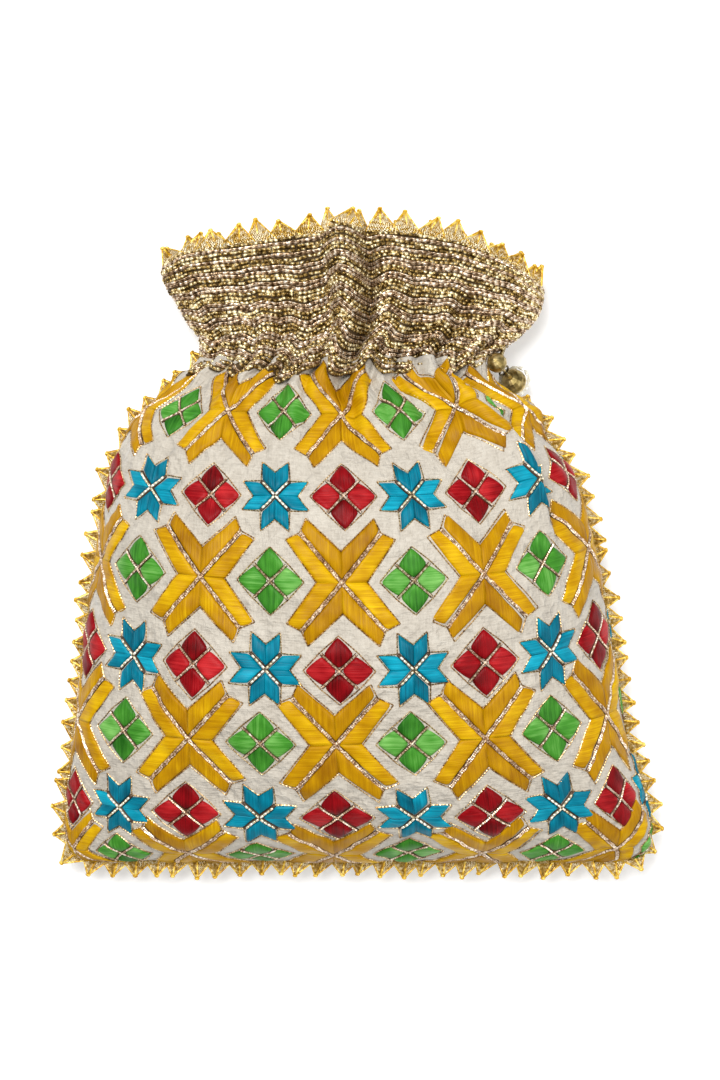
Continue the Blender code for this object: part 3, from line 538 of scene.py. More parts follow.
def silkPaint():
    paint = Paint("creamSilk", Roughness=0.72, Sheen_Weight=0.25, Sheen_Roughness=0.5)
    flat = paint.attribute("cloth")
    threads = paint.noise(paint.scaled(flat, 260, 1500, 1), 1.0)
    weft = paint.noise(paint.scaled(flat, 1500, 300, 1), 1.0)
    soft = paint.noise(flat, 60, 3.0)
    crumple = paint.noise(flat, 170, 3.0, 0.6)
    paint.colour(threads * 0.35 + weft * 0.25 + soft * 0.25 + crumple * 0.3,
                 (0.35, (0.33, 0.29, 0.235)), (0.55, (0.47, 0.425, 0.355)), (0.8, (0.60, 0.555, 0.475)))
    crease = (paint.noise(flat, 120) - 0.5).math("ABSOLUTE") * 3.0
    paint.bump(crumple * 1.3 - crease * 1.1 + threads * 0.3 + weft * 0.2, 0.8, 0.0014)
    return paint.material


def satinPaint(name, deep, fair, bright):
    # satin stitch: fine parallel threads, with painted sheen in broad patches and on pads whose threads run
    # across
    paint = Paint(name, Roughness=0.42, Specular_IOR_Level=0.10)
    x, y, seed = paint.parts(paint.attribute("thread"))

    def grain(alongThreads, acrossThreads, perSeed, detail=2.0):
        where = paint.node("ShaderNodeCombineXYZ", {}, x * alongThreads, y * acrossThreads, seed * perSeed)
        return paint.noise(where, 1.0, detail)

    fine, strand, paintedSheen = grain(45, 2600, 9), grain(110, 900, 5), grain(120, 120, 30, 1.0)
    # painted sheen: broad lighter patches, and the third thread value, lighter on pads whose threads run
    # across, lift the colour; the rest of that value is a random tone per pad
    paint.colour(fine * 0.28 + strand * 0.26 + paintedSheen * 0.36 + seed * 0.22 - 0.03,
                 (0.32, deep), (0.54, fair), (0.76, bright))
    paint.feed("Roughness", fine * 0.3 + 0.26)
    paint.bump(fine + strand * 0.6, 0.45, 0.00035)
    return paint.material


def metalPaint(name, dark, fair, glint, scale=900.0, rough=0.32, metallic=0.85, depth=0.0002):
    paint = Paint(name, Metallic=metallic, Roughness=rough)
    where = paint.place()
    grain = paint.noise(where, scale)
    spot = paint.noise(where, scale * 0.23, 1.0)
    # the last stop, glint, is a painted glint on the grain's high spots
    paint.colour(grain * 0.75 + spot * 0.3, (0.4, dark), (0.52, fair), (0.63, glint))
    paint.feed("Roughness", grain * 0.3 + (rough - 0.12))
    paint.bump(grain, 0.4, depth)
    return paint.material


def ribbonPaint():
    # woven metallic ribbon, a lattice of flat gold strips
    paint = Paint("goldRibbon", Metallic=0.6, Roughness=0.3)
    x, y, seed = paint.parts(paint.attribute("thread"))
    lattice = ((x + y) * 5200).sine().math("MAXIMUM", ((x - y) * 5200).sine())
    grain = paint.noise(paint.place(), 900, 1.0)
    # the last stop is a painted glint on the grain's high spots of the lattice
    paint.colour(lattice * 0.22 + grain * 0.85 + seed * 0.12 - 0.06,
                 (0.2, (0.16, 0.07, 0.008)), (0.40, (0.52, 0.28, 0.03)),
                 (0.54, (0.84, 0.56, 0.14)), (0.67, (1.0, 0.92, 0.68)))
    paint.bump(lattice, 0.7, 0.0004)
    return paint.material


def wirePaint():
    # short twists of rose gold wire, with a painted glint in the middle of each and painted shade between
    # them
    paint = Paint("roseWire", Metallic=0.6, Roughness=0.28)
    along, turn, _ = paint.parts(paint.attribute("thread"))
    grain = paint.noise(paint.place(), 520)
    # the twist gives the relief, and in the colour it gives the painted glint and the painted shade
    twist = (along * 2600 + grain * 9.0).sine() + (turn * 5.0 + grain * 6.0).sine() * 0.9
    paint.colour(twist * 0.09 + grain * 0.75 + 0.13,
                 (0.36, (0.06, 0.025, 0.004)), (0.48, (0.40, 0.25, 0.13)),
                 (0.57, (0.72, 0.51, 0.32)), (0.64, (1.0, 0.91, 0.76)))
    paint.bump(twist, 0.5, 0.0003)
    return paint.material


def plainPaint(name, colour, rough, scale, depth, metallic=0.0, **more):
    paint = Paint(name, Roughness=rough, Metallic=metallic, **more)
    grain = paint.noise(paint.place(), scale, 3.0)
    low = tuple(c * 0.8 for c in colour)
    paint.feed("Base Color", paint.blend(grain, low, colour))
    paint.bump(grain, 0.3, depth)
    return paint.material


finish = {
    "silk": silkPaint(),
    "yellow": satinPaint("yellowSatin", (0.265, 0.108, 0.0002), (0.46, 0.232, 0.0002), (0.72, 0.45, 0.003)),
    "green": satinPaint("greenSatin", (0.010, 0.085, 0.005), (0.052, 0.24, 0.022), (0.22, 0.50, 0.125)),
    "red": satinPaint("redSatin", (0.07, 0.0005, 0.001), (0.25, 0.002, 0.005), (0.52, 0.022, 0.025)),
    "blue": satinPaint("blueSatin", (0.0002, 0.06, 0.095), (0.0002, 0.175, 0.26), (0.006, 0.38, 0.52)),
    # the last colour of each metal is its painted glint
    "outline": metalPaint("goldThread", (0.12, 0.055, 0.018), (0.50, 0.30, 0.11), (1.0, 0.82, 0.50), 1500.0),
    "coil": metalPaint("roseGoldCoil", (0.20, 0.11, 0.06), (0.58, 0.39, 0.24), (1.0, 0.91, 0.76),
                       1300.0, 0.3, 0.6),
    # dark tubes of painted shade in the furrows beside the coils and under the star beads
    "groove": plainPaint("paintedGrooveShade", (0.075, 0.035, 0.012), 0.6, 900.0, 0.0001),
    "goldBead": metalPaint("goldCutBead", (0.065, 0.032, 0.003), (0.36, 0.225, 0.055), (1.0, 0.88, 0.56),
                           620.0, 0.20, 0.6),
    "roseWire": wirePaint(),
    "creamBead": metalPaint("creamBead", (0.42, 0.32, 0.16), (0.86, 0.78, 0.58), (1.0, 0.97, 0.86),
                            700.0, 0.2, 0.5),
    "under": plainPaint("collarCloth", (0.07, 0.037, 0.007), 0.8, 900.0, 0.0003),
    "ribbon": ribbonPaint(),
    "roll": metalPaint("yellowRoll", (0.40, 0.19, 0.003), (0.74, 0.44, 0.015), (1.0, 0.78, 0.20),
                       900.0, 0.35, 0.35),
    "lining": plainPaint("tanLining", (0.42, 0.33, 0.22), 0.5, 300.0, 0.0003),
    "antique": metalPaint("antiqueGold", (0.14, 0.10, 0.03), (0.32, 0.24, 0.09), (0.62, 0.48, 0.22),
                          260.0, 0.34, 1.0, 0.0001),
    "darkWire": plainPaint("darkWire", (0.10, 0.075, 0.035), 0.3, 900.0, 0.0001, 1.0),
    "crystal": plainPaint("crystal", (0.85, 0.82, 0.70), 0.12, 900.0, 0.0001, 0.2, Coat_Weight=0.6),
}
print("materials made")


# Cloth of the body


def makeFront():
    mesh, uv = gridMesh("frontCloth", *body["frontGrid"])
    y = uv[:, 1] * (panelLength - body["topGap"])
    x = (uv[:, 0] * 2 - 1) * columnsToSeam(y) * step
    putBack(mesh, onCloth(x, y))
    mark(mesh, "cloth", x, y, np.zeros_like(x))
    piece = addPiece("frontCloth", mesh, finish["silk"])
    thicken(piece, body["wall"])
    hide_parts("front_panel")
    return piece


def makeBack():
    mesh, uv = gridMesh("backCloth", *body["backGrid"])
    y = uv[:, 1] * (panelLength - body["topGap"])
    x = (1 - 2 * uv[:, 0]) * columnsToSeam(y) * step
    points = bodyPoint(x / step, y, front=False)
    free = np.clip((points[:, 2] - 0.003) / 0.006, 0, 1)  # none where it lies on the floor
    sideways = unit((points - points.mean(0)) * (1, 1, 0))
    putBack(mesh, points + sideways * (pucker(x, y) * 0.0002 * free)[:, None])
    mark(mesh, "cloth", x, y, np.zeros_like(x))
    piece = addPiece("backCloth", mesh, finish["silk"])
    thicken(piece, body["wall"])
    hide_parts("back_panel")
    return piece


frontCloth = makeFront()
backCloth = makeBack()
print("body cloth made")

# The embroidery: motifs in millimetres of flat cloth, the rest in metres

pattern = {
    "rowY": (-0.1165, -0.1010, -0.0732, -0.0460, -0.0138, 0.0172, 0.0472),  # rows' places on the middle line
    "shift": 0.325, "skew": -0.068, "depth": 0.0012, "sunk": 0.0003, "wall": 0.0003,
    "margin": 0.0006, "topMargin": 0.0005,
    "arm": (15.6, 17.8), "tipAlong": (13.2, 23.2), "tipAcross": (21.2, 15.2), "notch": (9.6, 11.2),
    "lane": 0.50,
    "red": (13.2, 12.8), "green": (12.9, 12.3), "diamondBulge": 0.525,
    "starSide": 5.9, "starTip": (5.6, 13.5), "starNotch": 9.1,
}

def motifPlaces(kind):
    for row, rowY in enumerate(pattern["rowY"]):
        for column in range(-5, 6):
            found = (("cross", "green"), ("red", "star"))[row % 2][column % 2]
            if found == kind:
                across = column - pattern["shift"] - pattern["skew"] * row
                yield across * step, alongAt(rowY), row * 11 + column + 5


def turned(points, quarter):
    c, s = ((1, 0), (0, 1), (-1, 0), (0, -1))[quarter % 4]
    return [(x * c - y * s, x * s + y * c) for x, y in points]


def crossPatches():
    # the eight half chevrons: corners from the cord outwards, and the way the threads run
    ax, ay = pattern["arm"]
    length = math.hypot(ax, ay)
    lane = pattern["lane"]
    patches = []
    for tip, notch, way in ((pattern["tipAlong"], (0, pattern["notch"][1]), "y"),
                            (pattern["tipAcross"], (pattern["notch"][0], 0), "x")):
        sign = 1 if way == "y" else -1
        off = (-ay / length * lane * sign, ax / length * lane * sign)
        end = (ax + off[0], ay + off[1])
        apex = (0, lane * length / ax) if way == "y" else (lane * length / ay, 0)
        for x, y in ((1, 1), (-1, 1), (1, -1), (-1, -1)):
            patches.append(([(px * x, py * y) for px, py in (apex, end, tip, notch)], way, True))
    return patches


def diamondPatches(reach):
    rx, ry = reach
    lane = 0.40 / rx
    far = (1 - lane * 1.4) / 2
    near = far - lane
    patches = []
    for k, (ux, uy) in enumerate(((1, 0), (0, 1), (-1, 0), (0, -1))):
        corners = [(ux * lane * 2, uy * lane * 2), (ux * far + uy * near, uy * far + ux * near),
                   (ux, uy), (ux * far - uy * near, uy * far - ux * near)]
        patches.append(([(x * rx, y * ry) for x, y in corners], "xy"[k % 2], False))
    return patches


def starPatches():
    side, (tx, ty), notch = pattern["starSide"], pattern["starTip"], pattern["starNotch"]
    patches = []
    for quarter in range(4):
        for sign in (1, -1):
            half = [(0.0, 0.9), (sign * (side - 0.5), side + 0.35), (sign * tx, ty), (0.0, notch)]
            patches.append((turned(half, quarter), "yx"[quarter % 2], True))
    return patches


def inPanel(x, y, margin=pattern["margin"]):
    side = columnsToSeam(y) * step - margin
    return (np.abs(x) < side) & (y > margin) & (y < panelLength - pattern["topMargin"])


def makePads(name, colour, kind, patches, cells):
    # every patch is a small grid, bowed up in the middle and tucked under at its edges
    patch, uv = gridMesh("patch", *cells)
    s, t = uv[:, 0], uv[:, 1]
    p, q = 2 * s - 1, 2 * t - 1
    faces = np.array(facesOf(patch))
    pads, allFaces = [], []
    draw = np.random.default_rng(3)
    for mx, my, number in motifPlaces(kind):
        lean, grow = draw.normal(0, 0.02), 1 + draw.normal(0, 0.018)
        for k, (corners, way, shared) in enumerate(patches):
            c = np.array(corners) / 1000 * grow
            if shared:  # a half that meets its mirror image along s = 0
                bowed = (1 - s**9) * (1 - np.abs(q) ** 5) * (1 - 0.2 * np.clip(1 - s * 7, 0, 1))
                ss, tt = s * (1.03 - 0.03 * np.abs(q) ** 4), t * 1.05 - 0.02
            else:
                bowed = (1 - np.abs(p) ** 5) * (1 - np.abs(q) ** 5)
                ss, tt = (p * (1 - 0.09 * q * q) * 1.10 + 1) / 2, (q * (1 - 0.09 * p * p) * 1.10 + 1) / 2
            low, high = between(c[0], c[1], ss), between(c[3], c[2], ss)
            flat = low * (1 - tt)[:, None] + high * tt[:, None]
            cutX, y = flat[:, 0] + flat[:, 1] * lean + mx, flat[:, 1] - flat[:, 0] * lean + my
            x, under = lapped(cutX, y)
            if not inPanel(x, y).any() or under.all():
                continue
            run, cross = (cutX, y) if way == "x" else (y, cutX)
            # a random tone per pad, plus painted sheen: pads whose threads run across are made lighter
            tone = ((number * 7 + k * 3) % 11) / 11 * 0.5 + (0.5 if way == "x" else 0.0)
            (ax, ay), (bx, by) = c[1] - c[0], c[3] - c[0]
            order = faces[:, ::-1] if ax * by < ay * bx else faces  # faces outwards on a mirrored patch
            allFaces += (order + len(pads) * len(s)).tolist()
            pads.append((x, y, np.clip(bowed, 0, 1) ** 0.5, under, run, cross, np.full_like(x, tone)))
    x, y, bowed, under, run, cross, tone = (np.concatenate(column) for column in zip(*pads))
    keep = inPanel(x, y) & ~under
    y = np.clip(y, pattern["margin"], panelLength - pattern["margin"])
    side = columnsToSeam(y) * step - pattern["margin"]
    points = onCloth(np.clip(x, -side, side), y, bowed * pattern["depth"] - pattern["sunk"])
    mesh = listedMesh(name, points, [face for face in allFaces if keep[face].any()])
    mark(mesh, "thread", run, cross, tone)
    bm = bmesh.new()
    bm.from_mesh(mesh)
    bmesh.ops.delete(bm, geom=[v for v in bm.verts if not v.link_faces], context="VERTS")
    bm.to_mesh(mesh)
    bm.free()
    thicken(addPiece(name, mesh, finish[colour]), pattern["wall"])


makePads("yellowSatin", "yellow", "cross", crossPatches(), (14, 8))
makePads("greenSatin", "green", "green", diamondPatches(pattern["green"]), (9, 9))
makePads("redSatin", "red", "red", diamondPatches(pattern["red"]), (9, 9))
makePads("blueSatin", "blue", "star", starPatches(), (9, 8))
print("satin stitch made")

stitches = {
    # height over the cloth, then the radius or the two radii that take turns
    "outline": (0.00022, 0.00030, 0.00016), "crossCoil": (0.0006, 0.00046, 0.00030),
    "diamondCoil": (0.0006, 0.00046, 0.00028), "crossFurrow": (-0.00015, 0.00088),
    "diamondFurrow": (-0.0001, 0.00075), "starFurrow": (-0.0001, 0.00080),
    # the way from point to point, and for the outline in millimetres, with its distance from the satin
    "crossStep": 0.00040, "diamondStep": 0.00042, "furrowStep": 0.001, "outlineStep": 0.60,
    "outlineOff": 0.16,
    "twist": 0.00034, "starBead": (0.00040, 0.00148, 8, 1.22), "starBeadHeight": 0.0008,
    "starBeadStart": 0.0012, "starBeadPitch": 0.00172,
}


def clipped(line):
    # the stretches of a line on the cut cloth that show on the panel
    x, under = lapped(line[:, 0], line[:, 1])
    line = np.stack([x, line[:, 1]], -1)
    good = inPanel(x, line[:, 1]) & ~under
    cuts = np.flatnonzero(good[1:] != good[:-1]) + 1
    runs = zip(np.split(line, cuts), np.split(good, cuts))
    return [run for run, shown in runs if shown[0] and len(run) > 2]


def layAll(threads, kind, line, motif):
    # threads on the cloth along every stretch of a line that shows at one motif
    height, *radii = stitches[kind]
    for run in clipped(line + motif[:2]):
        _, out = clothFrame(run[:, 0], run[:, 1])
        threads.append((onCloth(run[:, 0], run[:, 1], height), out, np.resize(radii[::-1], len(run))))


def outlineOf(kind):
    if kind == "cross":
        notchX, notchY = pattern["notch"]
        quarter = [(0, notchY), pattern["tipAlong"], pattern["arm"], pattern["tipAcross"], (notchX, 0)]
        ring = quarter + [(x, -y) for x, y in quarter[::-1][1:]]
        return np.array(ring + [(-x, y) for x, y in ring[::-1][1:]], float)
    if kind == "star":
        side, (tx, ty), notch = pattern["starSide"], pattern["starTip"], pattern["starNotch"]
        quarter, scale = [(side, side), (tx, ty), (0, notch), (-tx, ty)], 1
    else:
        quarter, scale = [(1, 0), (pattern["diamondBulge"], pattern["diamondBulge"])], pattern[kind]
    ring = [point for k in range(4) for point in turned(quarter, k)]
    return np.array(ring + ring[:1], float) * scale


def makeOutlines():
    threads = []
    for kind in ("cross", "green", "red", "star"):
        ring = outlineOf(kind)
        line = evenly(ring + unit(ring) * stitches["outlineOff"], stitches["outlineStep"]) / 1000
        for motif in motifPlaces(kind):
            layAll(threads, "outline", line, motif)
    addPiece("goldOutlines", threadMesh("goldOutlines", threads, 4), finish["outline"], smooth=False)


def makeCoils():
    # coiled wire over dark furrows of painted shade: a twisted pair along each diagonal of a cross, one coil
    # along a diamond's;
    # the furrows of a star, dark with painted shade, carry its beads
    coils, furrows = [], []
    side, twist = pattern["starSide"], stitches["twist"]
    green, red = (np.array(pattern[kind]) / 2 for kind in ("green", "red"))
    for kind, name, reach in (("cross", "cross", pattern["arm"]), ("green", "diamond", green),
                              ("red", "diamond", red), ("star", "star", (side, side))):
        for motif in motifPlaces(kind):
            for sign in (1, -1):
                end = np.array([reach[0] * sign, reach[1]]) / 1000
                if name == "cross":
                    line = evenly([-end, end], stitches["crossStep"])
                    off = unit(np.array([-end[1], end[0]]))
                    for turn in (-1, 1):
                        apart = twist * (1 + 0.35 * np.cos(np.arange(len(line)) * 0.55 + turn * 0.8))
                        layAll(coils, "crossCoil", line + off * turn * apart[:, None], motif)
                elif name == "diamond":
                    layAll(coils, "diamondCoil", evenly([-end, end], stitches["diamondStep"]), motif)
                layAll(furrows, name + "Furrow", evenly([-end, end], stitches["furrowStep"]), motif)
    addPiece("coiledWire", threadMesh("coiledWire", coils, 4), finish["coil"], smooth=False)
    # dark tubes of painted shade sunk along the furrows
    addPiece("furrows", threadMesh("furrows", furrows, 4), finish["groove"])


def beadTemplate(name, radius, length, sides, bulge):
    # a short tube bead with its ends drawn in, lying along X
    bm = bmesh.new()
    bmesh.ops.create_cone(bm, cap_ends=True, segments=sides, radius1=radius, radius2=radius, depth=length)
    lying = Vector((0, 0, 1)).rotation_difference(Vector((1, 0, 0))).to_matrix()
    bmesh.ops.rotate(bm, verts=bm.verts, cent=(0, 0, 0), matrix=lying)
    edges = [e for e in bm.edges if abs(e.verts[0].co.x - e.verts[1].co.x) > length / 2]
    bmesh.ops.subdivide_edges(bm, edges=edges, cuts=1)
    for v in bm.verts:
        if abs(v.co.x) < length / 4:
            v.co.y *= bulge
            v.co.z *= bulge
    return meshOf(name, bm)


def makeStarBeads():
    spots, ways = [], []
    for mx, my, _ in motifPlaces("star"):
        for sx, sy in ((1, 1), (1, -1), (-1, 1), (-1, -1)):
            for k in range(4):
                far = (stitches["starBeadStart"] + k * stitches["starBeadPitch"]) / math.sqrt(2)
                spots.append((mx + sx * far, my + sy * far))
                ways.append((sx, sy))
    spots, ways = np.array(spots), np.array(ways, float)
    spots[:, 0], under = lapped(spots[:, 0], spots[:, 1])
    good = inPanel(spots[:, 0], spots[:, 1], 0.002) & ~under
    (x, y), (stepX, stepY) = spots[good].T, unit(ways[good]).T * 0.001
    here = onCloth(x, y, stitches["starBeadHeight"])
    ahead = onCloth(x + stepX, y + stepY, stitches["starBeadHeight"])
    _, out = clothFrame(x, y)
    mesh = stamp("starBeads", beadTemplate("starBead", *stitches["starBead"]), here, unit(ahead - here), out)
    addPiece("starBeads", mesh, finish["creamBead"])


makeOutlines()
makeCoils()
makeStarBeads()
print("threads and beads made")


# The collar


collarWave = ripple(*folds["collarWaves"][:4])


def acrossNeck(share):
    # whether a share of the way round is on the front, and its way across from -1 to 1
    front = share <= 0.5
    return front, np.where(front, 4 * share - 1, 4 * share - 3)


def collarPoint(share, up, inset=0.0, height=0.0, folded=True):
    # share runs from the left end over the front to the right end, and on round the back
    share = np.asarray(share, float) % 1.0
    up = np.asarray(up, float) + np.zeros_like(share)
    front, across = acrossNeck(share)
    angle = neckAngle(across)
    turn = np.where(front, 1.0, -1.0)
    place = np.sin(angle) * turn
    drop = collar["backDrop"] * np.cos(angle) ** 2 * (1 - 0.9 * np.exp(-(((place - 0.3) / 0.2) ** 2)))
    start = neckY + collar["gap"]
    y = start + up * (rimCurve(place) - np.where(front, 0, drop) - start)
    left, right, seam = (collarCurve[k](up) for k in ("left", "right", "seam"))
    depth = np.where(front, collarCurve["front"](up) - seam, seam - collarCurve["back"](up)) - inset
    half = (left + right) / 2 - inset
    nx, nz = depth * np.sin(angle), half * np.cos(angle)
    size = np.maximum(np.hypot(nx, nz), 1e-9)
    rise = np.zeros_like(share)
    ridge = 0.0018 * np.exp(-(((place + 0.06) / 0.075) ** 2)) * np.clip(up * 2.5, 0, 1) * front
    if folded:
        rise = pleatRise(place, np.zeros_like(place), np.maximum(up, 0))
        for at, width, lift, low, high in folds["collar"]:
            along = np.clip((up - low) / 0.2, 0, 1) * np.clip((high - up) / 0.3, 0, 1)
            rise = rise + lift * along * np.exp(-(((place - at) / width) ** 2))
        rise = rise * np.where(front, 1.0, 0.5) * np.sqrt(np.clip(1 - np.abs(place), 0, 1) * 8).clip(0, 1)
        rise = rise + collarWave(share * 0.28, y) * folds["collarWaves"][4]
    rise = rise + height
    x = (right - left) / 2 + half * np.sin(angle) * turn + rise * nx / size * turn
    z = seam + (depth * np.cos(angle) + rise * nz / size) * turn
    z = np.maximum(z, 0.0008 + inset * 0.3)  # clear of the floor
    return np.stack([x - centre[0], y - centre[1] + rise * 0.16 + ridge, z], -1)


def collarOut(share, up):
    along = collarPoint(share + 0.001, up) - collarPoint(share - 0.001, up)
    upward = collarPoint(share, up + 0.01) - collarPoint(share, up - 0.01)
    return unit(np.cross(along, upward))


def edgeUp(share):
    # the sewn edge of the collar wanders down over the body, and lifts in the deep folds
    front, across = acrossNeck(share % 1)
    place = np.sin(neckAngle(across)) * np.where(front, 1, -1)
    down = collar["skirt"] + 0.022 * np.sin(place * 19 + 1.0) + 0.018 * np.sin(place * 41 + 2.0)
    for at, width, more in collar["dips"]:
        down = down + more * np.exp(-(((place - at) / width) ** 2))
    return -np.where(front, np.maximum(down, 0.014) * np.clip((1 - np.abs(place)) * 12, 0, 1), 0.0)


def makeCollarCloth():
    mesh, uv = gridMesh("collarCloth", *collar["grid"])
    share = uv[:, 0]
    low = edgeUp(share)
    putBack(mesh, collarPoint(share, low + uv[:, 1] * (1 - low), height=-collar["sunk"]))
    faceOutwards(mesh, 1e-5)
    piece = addPiece("collarCloth", mesh, finish["under"])
    thicken(piece, collar["wall"])
    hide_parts("beaded_collar")
    return piece


def rowUp(row, share):
    # rows run evenly from the sewn edge to the mouth and wander a little
    wander = 0.10 * np.sin(share * 37 + row * 1.7) + 0.08 * np.sin(share * 91 + row * 2.9)
    low = edgeUp(share)
    return low + (row + 0.5 + wander) / collar["rows"] * (1 - low)


def onRow(row, share, height=collar["rowHeight"]):
    return collarPoint(share, rowUp(row, share), height=height)


def makeCollarRows():
    share = np.linspace(0, 1, 1601)
    beads, wires = [], []
    draw = np.random.default_rng(5)
    for row in range(collar["rows"]):
        arc = arcLength(onRow(row, share))
        if row in collar["goldRows"]:
            count = int(arc[-1] / collar["beadPitch"])
            at = (np.arange(count) + 0.5) * arc[-1] / count + draw.normal(0, 0.00010, count)
            here = np.interp(at, arc, share)
            point, out = onRow(row, here), collarOut(here, rowUp(row, here))
            run = unit(onRow(row, here + 0.002) - point)
            run = unit(run + unit(np.cross(out, run)) * draw.normal(0, 0.12, count)[:, None])
            beads.append((point + out * draw.normal(0, 0.00012, count)[:, None], run, out))
        else:
            count = int(arc[-1] / collar["wirePitch"]) + 1
            here = np.interp(np.linspace(0, arc[-1], count), arc, share)
            point = onRow(row, here, draw.normal(0.00015, 0.00009, count))
            sizes = np.resize(collar["wire"][::-1], count)
            wires.append((point, collarOut(here, rowUp(row, here)), sizes))
    placed = [np.concatenate(column) for column in zip(*beads)]
    mesh = stamp("collarBeads", beadTemplate("cutBead", *collar["bead"]), *placed)
    addPiece("collarBeads", mesh, finish["goldBead"])
    mesh = threadMesh("collarWires", wires, 5)
    addPiece("collarWires", mesh, finish["roseWire"], smooth=False)


collarCloth = makeCollarCloth()
makeCollarRows()
print("collar made")

lining = {
    # it keeps inset from the body, more towards the neck, and turns into the collar at a share of its height
    "grid": (120, 60), "wall": 0.0006, "base": 0.014, "inset": 0.0044, "neckInset": 0.0034, "neckShare": 0.7,
    # inside the collar it hangs loose, and lies close to the folded cloth at the mouth
    "loose": 0.0078, "close": 0.0036, "top": 0.985,
}


def makeLining():
    # one bag inside the other: closed along the base, up through the neck and out to the mouth
    mesh, uv = gridMesh("liningCloth", *lining["grid"])
    share, up = uv[:, 0], uv[:, 1]
    front, across = acrossNeck(share)
    t = np.clip(up / lining["neckShare"], 0, 1)
    along = lining["base"] + t * (panelLength - lining["base"])
    inset = lining["inset"] + lining["neckInset"] * t**3
    column = across * columnsToSeam(along)
    ahead, behind = bodyPoint(column, along, True, inset, 0.0), bodyPoint(-column, along, False, inset, 0.0)
    lower = np.where(front[:, None], ahead, behind)
    lower[:, 2] = np.where(up < 1e-6, bodyCurve["seam"](lower[:, 1] + centre[1]), lower[:, 2])
    rise = np.clip((up - lining["neckShare"]) / (1 - lining["neckShare"]), 0, 1)
    loose = collarPoint(share, rise * lining["top"], inset=lining["loose"], folded=False)
    close = collarPoint(share, rise * lining["top"], inset=lining["close"])
    upper = loose + (close - loose) * rise[:, None]
    putBack(mesh, np.where((up > lining["neckShare"])[:, None], upper, lower))
    faceOutwards(mesh, 1e-5)
    piece = addPiece("liningCloth", mesh, finish["lining"])
    thicken(piece, lining["wall"])
    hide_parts("lining")
    return piece


liningCloth = makeLining()
print("lining made")

# The folded ribbon

trim = {
    "sidePitch": 0.0080, "basePitch": 0.0079, "sideReach": 0.0052, "baseReach": 0.0058, "lean": 0.30,
    "sideOut": 0.0002, "tops": (0.0700, 0.0535), "corner": (0.104, -0.118, 0.008, 0.35), "step": 0.0004,
    "mouthPitch": 0.0088, "mouthReach": 0.0074, "mouthLean": 0.0, "mouthOut": 0.0011, "mouthInset": 0.0009,
    "thick": 0.0003, "roll": 0.00058, "tuck": 0.0012,
}


def seamFeet():
    # the feet of the points down the left side, along the base and up the right side
    down, up = (np.linspace(top, baseY, 500) for top in trim["tops"])
    left = np.stack([-bodyCurve["left"](down), down, bodyCurve["seam"](down)], -1)
    right = np.stack([bodyCurve["right"](up), up, bodyCurve["seam"](up)], -1)[::-1]
    path = evenly(np.concatenate([left, right]) - (*centre, 0), trim["step"])
    level = unit(np.gradient(path, axis=0))[:, 0].clip(0, 1) ** 4
    pitch = trim["sidePitch"] + (trim["basePitch"] - trim["sidePitch"]) * level
    count = np.concatenate([[0.0], np.cumsum(trim["step"] / pitch[1:])])
    at = np.linspace(0, count[-1], int(round(count[-1])) + 1)
    return np.stack([np.interp(at, count, values) for values in path.T], -1)


def aboveFloor(points, clear):
    return np.maximum(points, (-np.inf, -np.inf, clear))


def makePoints(name, feet, ways, outs, ups, pitches, reaches, lean, node):
    # each point is a fold of ribbon: a bowed leaf, a flap lying over half of it, and rolled edges
    draw = np.random.default_rng(11)
    leaf, uv = gridMesh("leaf", 4, 4)
    s, t = uv[:, 0], uv[:, 1]
    edgeway = np.linspace(0, 0.97, 6)
    faces = np.array(facesOf(leaf))
    leaves, marks, allFaces, rolls = [], [], [], []
    for foot, forward, out, up, pitch, reach in zip(feet, ways, outs, ups, pitches, reaches):
        long, width = reach * draw.uniform(0.82, 1.16), pitch * draw.uniform(1.36, 1.66)
        bend = pitch * (lean + draw.normal(0, 0.15 if lean else 0.20))
        tip = foot + out * long - forward * bend + up * draw.normal(0.0006, 0.0009)
        a, b = (foot + forward * width * side - out * trim["tuck"] for side in (-0.5, 0.5))
        fold = a * 0.52 + b * 0.48 + forward * width * draw.uniform(-0.10, 0.12)
        for end, lift, puff, over in ((b, 0.0002, 0.0012, 0), (fold, 0.0012, 0.0013, 1)):
            shape = between(between(a, end, s), tip, t * 0.9)
            bow = np.sin(math.pi * s) * puff * (1 - 0.6 * t) + lift * (1 - t * 0.7)
            allFaces += (faces + len(leaves) * len(s)).tolist()
            leaves.append(aboveFloor(shape + np.outer(bow, up), 0.0004))
            marks.append((s * width, t * long, np.full_like(s, draw.uniform() - over * 0.6)))
        for end, base, size in ((a, 0.0008, 1.0), (b, 0.0003, 0.62), (fold, 0.0016, 0.85)):
            edge = between(end, tip, edgeway) + np.outer(base * (1 - edgeway * 0.7), up)
            sizes = trim["roll"] * size * (0.8 + 0.3 * edgeway)
            rolls.append((aboveFloor(edge, 0.0008), np.tile(up, (6, 1)), sizes))
        crown = tip + np.outer(np.linspace(-0.0007, 0.0005, 4), out) + up * 0.0003
        sizes = np.array([0.9, 1.5, 1.5, 0.8]) * trim["roll"] * 1.2
        rolls.append((aboveFloor(crown, 0.0012), np.tile(up, (4, 1)), sizes))
    mesh = listedMesh(name, np.concatenate(leaves), allFaces)
    mark(mesh, "thread", *(np.concatenate(column) for column in zip(*marks)))
    piece = addPiece(name, mesh, finish["ribbon"], smooth=False)
    thicken(piece, trim["thick"], 0)
    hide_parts(node)
    addPiece(name + "Rolls", threadMesh(name + "Rolls", rolls, 5), finish["roll"])


